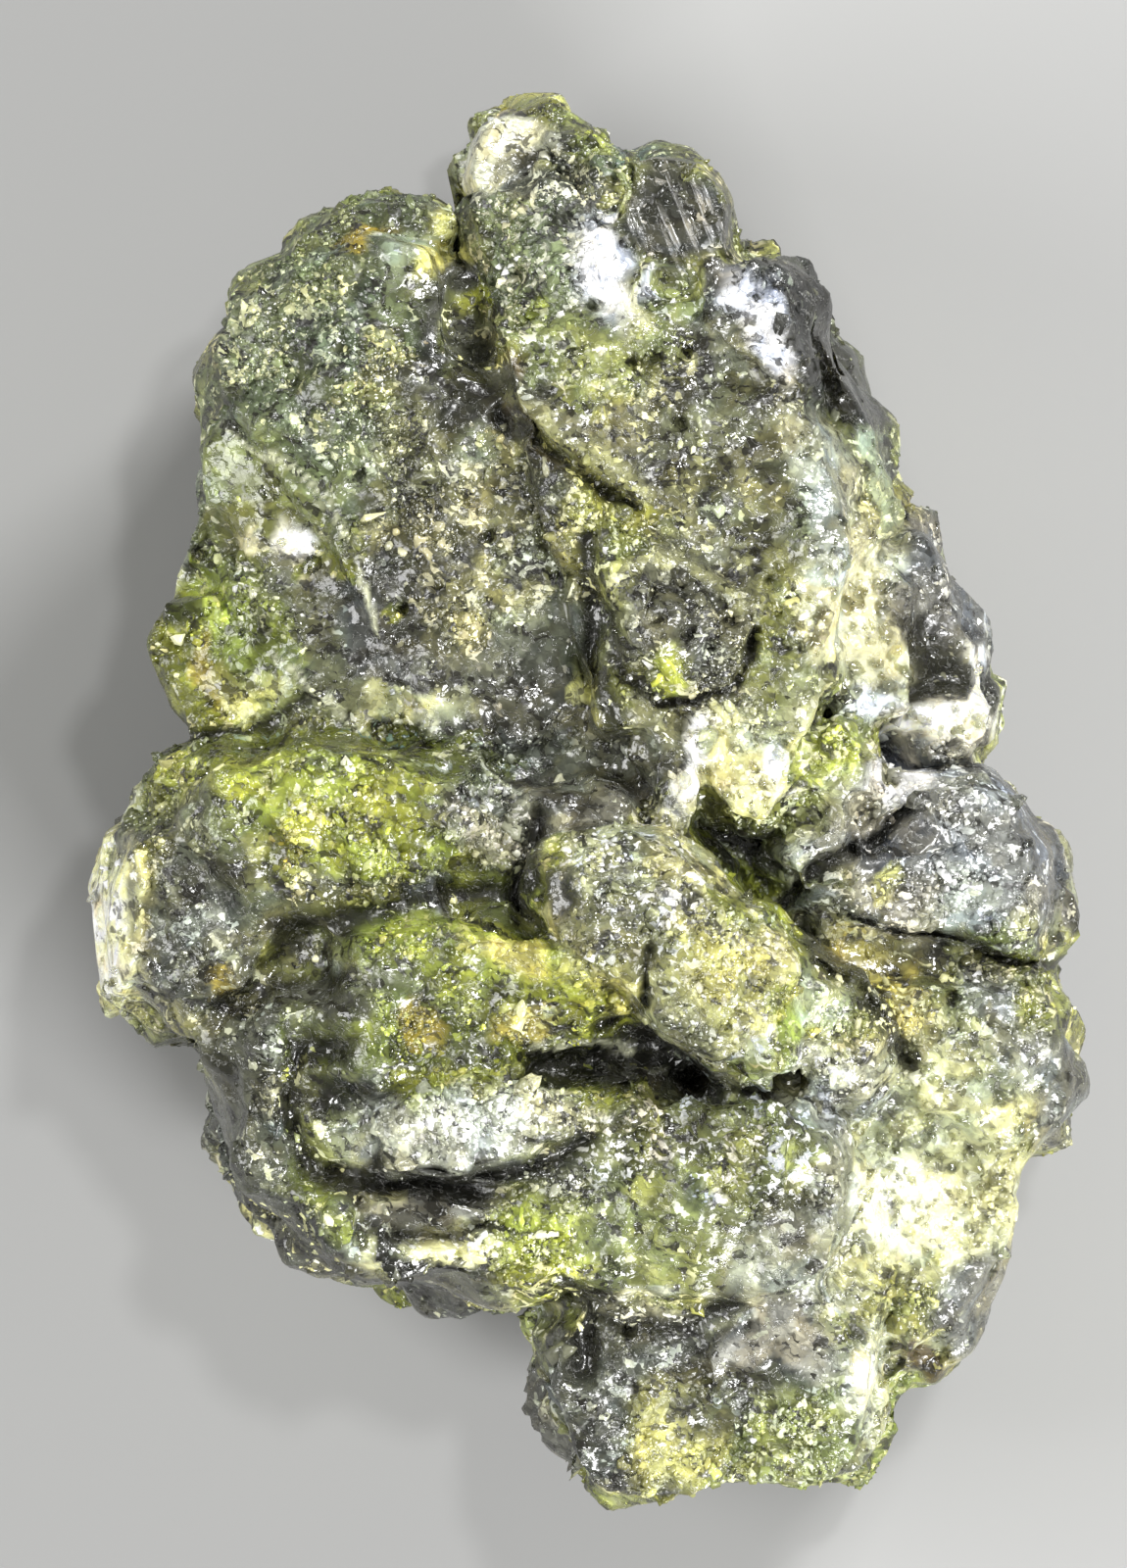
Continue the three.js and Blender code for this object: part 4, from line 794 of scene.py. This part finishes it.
class Value:
    """A socket that carries one number. Arithmetic on it adds Math nodes."""

    def __init__(self, finish, socket):
        self.finish = finish
        self.socket = socket

    def math(self, operation, *others):
        inputs = dict(enumerate((self, *others)))
        return self.finish.node("ShaderNodeMath", {"operation": operation}, inputs)[0]

    def __add__(self, other):
        return self.math("ADD", other)

    def __sub__(self, other):
        return self.math("SUBTRACT", other)

    def __rsub__(self, other):
        return (self * -1.0) + other

    def __mul__(self, other):
        return self.math("MULTIPLY", other)

    def between(self, low, high):
        """0 below low, 1 above high, and a smooth rise between them."""
        inputs = {"Value": self, "From Min": low, "From Max": high}
        return self.finish.node("ShaderNodeMapRange", {"interpolation_type": "SMOOTHSTEP"}, inputs)[0]


class Made:
    """A node whose outputs are taken by name or number as values."""

    def __init__(self, finish, node):
        self.finish = finish
        self.outputs = node.outputs

    def __getitem__(self, key):
        return Value(self.finish, self.outputs[key])


class Finish:
    """A material under construction."""

    def __init__(self, name):
        self.material = bpy.data.materials.new(name)
        self.material.use_nodes = True
        self.tree = self.material.node_tree
        self.tree.nodes.clear()

    def node(self, kind, settings=None, inputs=None):
        """Makes a node, sets its settings, then fills its sockets with numbers, colours or links."""
        node = self.tree.nodes.new(kind)
        for name, value in (settings or {}).items():
            setattr(node, name, value)
        for key, value in (inputs or {}).items():
            if isinstance(value, Value):
                self.tree.links.new(value.socket, node.inputs[key])
            else:
                node.inputs[key].default_value = value
        return Made(self, node)

    def mix(self, share, first, second):
        """Blends two colours."""
        return self.node("ShaderNodeMix", {"data_type": "RGBA"}, {0: share, 6: first, 7: second})[2]

    def shaded(self, colour, shade):
        """A colour times a number."""
        grey = self.node("ShaderNodeCombineColor", None, {0: shade, 1: shade, 2: shade})[0]
        settings = {"data_type": "RGBA", "blend_type": "MULTIPLY"}
        return self.node("ShaderNodeMix", settings, {0: 1.0, 6: colour, 7: grey})[2]

    def attribute(self, name, output="Color"):
        """What the mesh carries under this name."""
        return self.node("ShaderNodeAttribute", {"attribute_name": name})[output]

    def place(self):
        """Object coordinates in millimetres."""
        where = self.node("ShaderNodeTexCoord")["Object"]
        return self.node("ShaderNodeVectorMath", {"operation": "MULTIPLY"}, {0: where, 1: (1 / MM,) * 3})[0]

    def cells(self, place, per_mm):
        """Worley cells: the distance to the nearest centre, a random colour and the centre's place."""
        return self.node("ShaderNodeTexVoronoi", {"feature": "F1"}, {"Vector": place, "Scale": per_mm})

    def stretched(self, place, degrees, units):
        """The place in turned axes, each measured in a unit of its own in millimetres."""
        turn = (0.0, 0.0, np.radians(degrees))
        inputs = {"Vector": place, "Rotation": turn, "Scale": units}
        return self.node("ShaderNodeMapping", {"vector_type": "TEXTURE"}, inputs)[0]

    def noise(self, place, per_mm, detail, rough=0.5):
        """Soft noise from 0 to 1."""
        inputs = {"Vector": place, "Scale": per_mm, "Detail": detail, "Roughness": rough}
        return self.node("ShaderNodeTexNoise", None, inputs)["Fac"]

    def part(self, colour, channel):
        """One channel of a colour as a number."""
        return self.node("ShaderNodeSeparateColor", None, {0: colour})[channel]

    def tilt(self, place, cells):
        """A height that makes each cell one flat face: its distance along the cell's own direction."""
        minus = {"operation": "SUBTRACT"}
        way = self.node("ShaderNodeVectorMath", minus, {0: place, 1: cells["Position"]})[0]
        own = self.node("ShaderNodeVectorMath", minus, {0: cells["Color"], 1: (0.5,) * 3})[0]
        return self.node("ShaderNodeVectorMath", {"operation": "DOT_PRODUCT"}, {0: way, 1: own})["Value"]

    def bump(self, height, strength):
        """A normal from a height in millimetres."""
        return self.node("ShaderNodeBump", None, {"Strength": strength, "Distance": MM, "Height": height})[0]

    def principled(self, inputs, settings=None):
        """The usual surface shader."""
        return self.node("ShaderNodeBsdfPrincipled", settings, inputs)[0]

    def done(self, shader, volume=None):
        """Wires the shader to the output."""
        inputs = {"Surface": shader}
        if volume:
            inputs["Volume"] = volume
        self.node("ShaderNodeOutputMaterial", None, inputs)
        return self.material


# %% [markdown]
# ### Skin
#
# Close up, the stone is a ground colour full of specks: bright grains, dark pits with pale rims and
# wet-looking glints. Worley cells of two sizes pick the grains, and a third, larger size holds the pits. They
# are a little longer than wide, all turned the same way, as the grains of this mineral are. The same cells
# tilt the normal, so that each grain mirrors the lamps on its own. The near-black inside the pits is painted
# shade. A few of the crystals get fine stripes along them, and thin fold lines run over the glassy places;
# both are lightened, which is painted highlight. Clear places get a second shader in which light wanders
# under the surface before it comes out.

# %% Skin finish
REFRACTION = 1.73


def skin_material():
    """Ground and speck colours from the mesh, broken up by grains, pits and mottling."""
    finish = Finish("epidote_skin")
    place = finish.place()
    ground = finish.attribute("ground")
    speck = finish.attribute("speck")
    grit = finish.attribute("grit", "Fac")
    clear = finish.attribute("clear", "Fac")
    stripe = finish.attribute("stripe", "Fac")
    bend = finish.node("ShaderNodeTexNoise", None, {"Vector": place, "Scale": 4.0, "Detail": 2.0})["Color"]
    bent = finish.node(
        "ShaderNodeVectorMath", {"operation": "MULTIPLY_ADD"}, {0: bend, 1: (0.3, 0.3, 0.3), 2: place}
    )[0]
    bent = finish.stretched(bent, -25.0, (1.4, 0.9, 1.0))
    lengthwise = finish.stretched(place, -68.0, (3.0, 0.22, 1.0))
    stria = finish.noise(lengthwise, 1.0, 2.0, 0.6).between(0.52, 0.7) * stripe
    coarse = finish.cells(bent, 3.6)
    fine = finish.cells(bent, 7.2)
    sparse = finish.cells(bent, 1.8)
    blotch = finish.noise(bent, 1.5, 3.0, 0.65) - 0.5

    own = finish.part(coarse["Color"], 0) * 0.5 + finish.part(fine["Color"], 0) * 0.5
    level = own + blotch * 1.3
    rugged = (grit * 0.75 + 0.25) * (1 - clear * 0.85)
    shade = ((level * level * 3.2 + 0.04) - 1) * rugged + 1
    colour = finish.shaded(ground, shade)
    pale_speck = finish.part(speck, "Blue") * 0.12
    pick = finish.part(fine["Color"], 1) * 0.6 + finish.part(coarse["Color"], 1) * 0.4
    bright = (pick + blotch * 0.5 + pale_speck + grit * 0.3).between(0.95, 1.02)
    colour = finish.mix(bright, colour, finish.shaded(speck, level * 0.9 + 0.4))
    # painted highlight: the stripes are lightened towards the speck colour; their bump is real relief
    colour = finish.mix(stria * 0.4, colour, speck)
    dark = (1 - (level - grit * 0.1).between(0.12, 0.28)) * (0.9 - clear * 0.75)
    pit = finish.part(sparse["Color"], 2).between(0.8, 0.82) * grit
    colour = finish.mix(pit * (1 - sparse["Distance"].between(0.22, 0.34)) * 0.5, colour, speck)
    # painted shade: the inside of each pit is painted near-black
    hole = pit * (1 - sparse["Distance"].between(0.11, 0.19)) * (1 - clear * 0.3)
    colour = finish.mix((dark + hole).math("MINIMUM", 1.0), colour, (0.01, 0.009, 0.006, 1))

    height = finish.tilt(bent, coarse) * 0.5 + finish.tilt(bent, fine) * 0.9 + finish.tilt(bent, sparse) * 0.4
    height = height * (grit * 0.88 + 0.12) + own * (grit * 0.14 + 0.02)
    # painted highlight: thin pale fold lines, strongest on the glassy places, with a small bump
    fold = finish.noise(bent, 2.6, 2.0, 0.6)
    fold = 1 - (fold - 0.5).math("ABSOLUTE").between(0.0, 0.022)
    colour = finish.mix(fold * (0.3 - grit * 0.25), colour, finish.mix(0.5, ground, (0.8, 0.8, 0.74, 1)))
    normal = finish.bump(height - hole * 0.1 + fold * 0.03 + stria * 0.03, 0.8)
    rough = grit * 0.2 + finish.part(coarse["Color"], 2) * 0.2 + 0.08
    surface = {"Base Color": colour, "Roughness": rough, "Normal": normal, "IOR": REFRACTION}
    wander = {
        "Subsurface Weight": 1.0,
        "Subsurface Radius": (1.0, 0.95, 0.6),
        "Subsurface Scale": 0.45 * MM,
    }
    body = finish.principled(surface)
    glow = finish.principled(surface | wander, {"subsurface_method": "RANDOM_WALK"})
    return finish.done(finish.node("ShaderNodeMixShader", None, {0: clear * 0.8, 1: body, 2: glow})[0])


# %% [markdown]
# The skin has too many triangles for one piece, so it is cut low on the flanks into a top and a base
# that share the points of the cut. Each is closed inside the body by a fan of triangles from the
# rim of the cut to one point at the core, so that both are solid and no gap shows between them.

# %% Skin in two closed pieces
CUT_HEIGHT = 4.0
CORE = (0.0, -0.5, 1.2)


def closed_part(chosen):
    """Triangles of the chosen faces, and a fan from their rim to the core, which is the last point."""
    quads = faces[chosen]
    corners = np.concatenate([quads[:, [0, 1, 2]], quads[:, [0, 2, 3]]])
    edges = np.concatenate([corners[:, [0, 1]], corners[:, [1, 2]], corners[:, [2, 0]]])
    pairs = np.sort(edges, axis=1) @ (len(points), 1)
    _, first, uses = np.unique(pairs, return_index=True, return_counts=True)
    rim = edges[first[uses == 1]]
    fan = np.column_stack([rim[:, ::-1], np.full(len(rim), len(points))])
    used, corners = np.unique(np.concatenate([corners, fan]), return_inverse=True)
    return used, corners.ravel()


def dress(mesh, rows):
    """Puts the colours and textures of each point on the mesh."""
    add_colour(mesh, "ground", rows[:, :3])
    add_colour(mesh, "speck", rows[:, 3:6])
    for column, name in ((GRIT, "grit"), (CLEAR, "clear"), (STRIPE, "stripe")):
        add_number(mesh, name, rows[:, column])


skin_finish = skin_material()
all_points = np.vstack([points, CORE])
all_looks = np.vstack([look, look[:1]])
high = points[faces][:, :, 2].mean(axis=1) > CUT_HEIGHT
for name, chosen in (("cluster_skin", high), ("cluster_base", ~high)):
    used, corners = closed_part(chosen)
    mesh = new_mesh(name, all_points[used], corners, 3)
    dress(mesh, all_looks[used])
    mesh.shade_smooth()
    mesh.set_sharp_from_angle(angle=SHARP)
    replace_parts(add_piece(name, mesh, skin_finish), NODE)

# %% [markdown]
# ## Crystals on the skin
#
# The sugar that gives the stone its sparkle is real geometry here: tens of thousands of small
# crystals, half sunk in the skin. Each is a block with only a few faces, because there are so many.
# They are not instances but joined meshes, made for all crystals at once: places are drawn on the
# skin by area, and one array product turns, scales and moves every copy.

# %% Seeds for the crystals
random = np.random.default_rng(8)
across = face_normals(points, faces)
areas = np.linalg.norm(across, axis=1) / 2
middles = points[faces].mean(axis=1)
face_look = look[faces].mean(axis=1)
face_up = across[:, 2] / np.maximum(2 * areas, 1e-9)
FREE_HEIGHT = 0.35


def seeds(weights, count):
    """Draws faces by area and weight. Returns a place, a normal and the look there for each seed."""
    allowed = areas * weights * (middles[:, 2] > FREE_HEIGHT) * (face_up > -0.55)
    chosen = random.choice(len(faces), size=count, p=allowed / allowed.sum())
    corner = faces[chosen]
    u, v = random.random((2, count, 1))
    places = (
        points[corner[:, 0]] * (1 - u) * (1 - v)
        + points[corner[:, 1]] * u * (1 - v)
        + points[corner[:, 2]] * u * v
        + points[corner[:, 3]] * (1 - u) * v
    )
    upright = across[chosen] / np.linalg.norm(across[chosen], axis=1, keepdims=True)
    return places, upright, face_look[chosen]


# %% Shapes of single crystals


def ringed(rings, corners):
    """Triangles of a closed solid out of rings of points: walls between them, and a fan on each end."""
    sides = []
    for low in range(0, (rings - 1) * corners, corners):
        for n in range(corners):
            m = (n + 1) % corners
            sides += [(low + n, low + m, low + corners + m), (low + n, low + corners + m, low + corners + n)]
    top = (rings - 1) * corners
    sides += [(top, top + n, top + n + 1) for n in range(1, corners - 1)]
    sides += [(0, n + 1, n) for n in range(1, corners - 1)]
    return np.array(sides)


def chip():
    """A crumb with a flat five-cornered top."""
    turn = np.arange(5) / 5 * 2 * np.pi
    ring = np.stack([np.cos(turn), np.sin(turn)], axis=1)
    foot = np.column_stack([ring, np.full(5, -0.8)])
    top = np.column_stack([ring * 0.7, 0.7 + 0.2 * ring[:, 0]])
    return np.concatenate([foot, top]), ringed(2, 5)


def prism(shoulder=0.72):
    """A six-sided column along z with a slanted chisel end: a ring at the foot, a ring at the
    shoulder and a shrunken ring at the tip that leans to one side."""
    turn = np.arange(6) / 6 * 2 * np.pi
    ring = np.stack([np.cos(turn), np.sin(turn) * 0.62], axis=1)
    foot = np.column_stack([ring, np.full(6, -1.0)])
    middle = np.column_stack([ring, shoulder + 0.12 * ring[:, 0]])
    tip = np.column_stack([ring * 0.45 + (0.2, 0), 1.0 + 0.25 * ring[:, 0]])
    return np.concatenate([foot, middle, tip]), ringed(3, 6)


def turned_frames(upright, lean):
    """Three unit directions for each crystal: its long way leans from the normal by random angles."""
    count = len(upright)
    long = upright + lean * random.normal(size=(count, 3))
    long /= np.linalg.norm(long, axis=1, keepdims=True)
    side = np.cross(long, random.normal(size=(count, 3)))
    side /= np.linalg.norm(side, axis=1, keepdims=True)
    return np.stack([side, np.cross(long, side), long], axis=1)


def grown(name, shape, seed_rows, sizes, lean, jitter, sunk, colours, material):
    """One joined mesh with a crystal on every seed. `sizes` is (count, 3): two half widths and the
    half length. Each copy's points are jittered, turned by its own frame and moved to its place."""
    base, sides = shape
    places, upright, _ = seed_rows
    count = len(places)
    copies = base[None] * (1 + jitter * random.uniform(-1, 1, (count, len(base), 3)))
    copies = copies * sizes[:, None, :]
    copies = np.einsum("cpk,ckj->cpj", copies, turned_frames(upright, lean))
    copies += (places + upright * (sizes[:, 2] * (1 - 2 * sunk))[:, None])[:, None]
    copies[..., 2] = np.maximum(copies[..., 2], 0.02)
    corners = (sides[None] + (np.arange(count) * len(base))[:, None, None]).ravel()
    mesh = new_mesh(name, copies.reshape(-1, 3), corners, 3)
    add_colour(mesh, "own_colour", np.repeat(colours, len(base), axis=0))
    return add_piece(name, mesh, material)


# %% Finish of the grains


def grain_material(name, roughness):
    """Each crystal keeps its own colour, with faint clouds in it."""
    finish = Finish(name)
    place = finish.place()
    own = finish.attribute("own_colour")
    cloud = finish.noise(place, 9.0, 3.0) * 0.9 + 0.55
    normal = finish.bump(finish.noise(place, 16.0, 2.0) * 0.03, 0.5)
    inputs = {"Base Color": finish.shaded(own, cloud), "Roughness": roughness, "Normal": normal}
    return finish.done(finish.principled(inputs | {"IOR": REFRACTION}))


def clear_material():
    """Clear pale yellow crystal: light goes through it and loses a little blue on the way."""
    finish = Finish("clear_crystal")
    shader = finish.principled({
        "Base Color": (0.97, 0.98, 0.9, 1),
        "Roughness": 0.06,
        "IOR": REFRACTION,
        "Transmission Weight": 1.0,
    })
    inputs = {"Color": (0.9, 0.9, 0.45, 1), "Density": 200.0}
    return finish.done(shader, finish.node("ShaderNodeVolumeAbsorption", None, inputs)[0])


# %% Sugar grains


def grain_sizes(count, low, high, length=1.0):
    """Half widths and half length in millimetres, small ones more often."""
    size = low * (high / low) ** (random.random(count) ** 1.6)
    flat = random.uniform(0.6, 1.0, (count, 2))
    long = size * length * random.uniform(0.7, 1.2, count)
    return np.column_stack([size * flat[:, 0], size * flat[:, 1], long])


def grain_colours(rows, speck_share, spread):
    """The ground or the speck colour of the place, darker or lighter by chance."""
    looks = rows[2]
    count = len(looks)
    use_speck = (random.random(count) < speck_share * (0.5 + 0.5 * looks[:, GRIT]))[:, None]
    colour = np.where(use_speck, looks[:, 3:6] * 0.9, looks[:, :3] * 1.15)
    return np.clip(colour * np.exp(random.normal(0, spread, (count, 1))), 0.004, 0.9)


face_grit = face_look[:, GRIT]
in_view = 0.35 + 0.65 * step(3.0, 8.0, middles[:, 2])
clumps = step(-0.35, 0.65, rough_noise(middles, 0.9, 70))
turned_up = np.maximum(step(0.2, 0.7, face_up), 0.4 * (1 - step(5, 8, middles[:, 2])))
sugar = in_view * clumps * (0.03 + 0.97 * face_grit**2) * turned_up
for name, count, size, share, roughness in (
    ("fine_sugar", 10000, (0.045, 0.1), 0.2, 0.25),
    ("coarse_sugar", 8000, (0.07, 0.17), 0.25, 0.2),
):
    rows = seeds(sugar, count)
    colours = grain_colours(rows, share, 0.4)
    sizes = grain_sizes(count, *size)
    grown(name, chip(), rows, sizes, 1.0, 0.3, 0.74, colours, grain_material(name, roughness))

BLOCKS = 600
rows = seeds((0.4 + 0.6 * in_view) * step(0.0, 0.5, face_up) * step(0.25, 0.5, face_grit), BLOCKS)
blocks = grown(
    "blocky_crystals", prism(0.8), rows, grain_sizes(BLOCKS, 0.16, 0.38, 1.1), 0.8, 0.1, 0.84,
    rows[2][:, :3], skin_finish,
)
# a block looks like the skin under it, but half as sugary and without stripes
block_look = rows[2] * (1, 1, 1, 1, 1, 1, 0.5, 1, 0)
dress(blocks.data, np.repeat(block_look, len(blocks.data.vertices) // BLOCKS, axis=0))

PRISMS = 1600
rows = seeds(in_view * clumps * (0.2 + 0.8 * face_grit) * step(0.3, 0.8, face_up), PRISMS)
grown(
    "stubby_prisms", prism(), rows, grain_sizes(PRISMS, 0.07, 0.2, 1.4), 1.4, 0.12, 0.72,
    grain_colours(rows, 0.3, 0.4), grain_material("stubby_prisms", 0.1),
)
CLEAR_CRYSTALS = 500
rows = seeds(in_view * face_look[:, CLEAR] ** 2 * step(0.2, 0.7, face_up), CLEAR_CRYSTALS)
grown(
    "clear_crystals", prism(), rows, grain_sizes(CLEAR_CRYSTALS, 0.08, 0.28, 1.3), 1.2, 0.12, 0.7,
    grain_colours(rows, 0.3, 0.4), clear_material(),
)

# %% [markdown]
# ## Floor, light and camera
#
# The floor is plain and pale. Cleavage faces mirror a lamp only at one tilt, so the places of the
# lamps decide which faces shine. The key lamp stands beyond the upper right corner of the picture,
# where the brightest faces look, a wider one beyond the lower right corner, a weak one at the left,
# and a small one above makes the points of light on the grains. The camera looks straight down
# with a long lens.

# %% Floor, light and camera
PICTURE_HEIGHT = 32.0
PICTURE_MIDDLE = (-0.45, 0.35)
CAMERA_HEIGHT = 209.0
CAMERA_FOCUS = 9.0
SENSOR = 36.0
FLOOR_HALF = 900.0


def floor_material():
    """Matt pale card with a faint mottling."""
    finish = Finish("pale_card")
    shade = finish.noise(finish.place(), 0.05, 2.0)
    colour = finish.mix(shade, (0.29, 0.29, 0.29, 1), (0.32, 0.32, 0.315, 1))
    return finish.done(finish.principled({"Base Color": colour, "Roughness": 0.9}))


square = np.array([[-1, -1, 0], [1, -1, 0], [1, 1, 0], [-1, 1, 0.0]]) * FLOOR_HALF
floor = bpy.data.objects.new("floor", new_mesh("floor", square, np.arange(4), 4))
floor.data.materials.append(floor_material())
bpy.context.scene.collection.objects.link(floor)


def area_light(name, place, size, power):
    """A square lamp at a place in millimetres that looks at the middle of the specimen."""
    lamp = bpy.data.lights.new(name, "AREA")
    lamp.size = size * MM
    lamp.energy = power
    holder = bpy.data.objects.new(name, lamp)
    bpy.context.scene.collection.objects.link(holder)
    holder.location = Vector(place) * MM
    holder.rotation_euler = (Vector((0, 0, 6 * MM)) - holder.location).to_track_quat("-Z", "Y").to_euler()


area_light("key_light", (80, 110, 110), 42, 0.29)
area_light("low_light", (90, -120, 90), 70, 0.42)
area_light("fill_light", (-140, 0, 110), 100, 0.23)
area_light("spark_light", (30, 40, 170), 10, 0.08)

world = bpy.data.worlds.new("studio")
bpy.context.scene.world = world
world.use_nodes = True
world.node_tree.nodes["Background"].inputs["Color"].default_value = (1, 1, 0.94, 1)
world.node_tree.nodes["Background"].inputs["Strength"].default_value = 0.24
bpy.context.scene.view_settings.view_transform = "Standard"

camera = bpy.data.cameras.new("camera")
camera.sensor_width = SENSOR
camera.lens = SENSOR * (CAMERA_HEIGHT - CAMERA_FOCUS) / PICTURE_HEIGHT
camera.clip_start = 0.01
camera.clip_end = 5
camera_holder = bpy.data.objects.new("camera", camera)
bpy.context.scene.collection.objects.link(camera_holder)
camera_holder.location = Vector((*PICTURE_MIDDLE, CAMERA_HEIGHT)) * MM
bpy.context.scene.camera = camera_holder
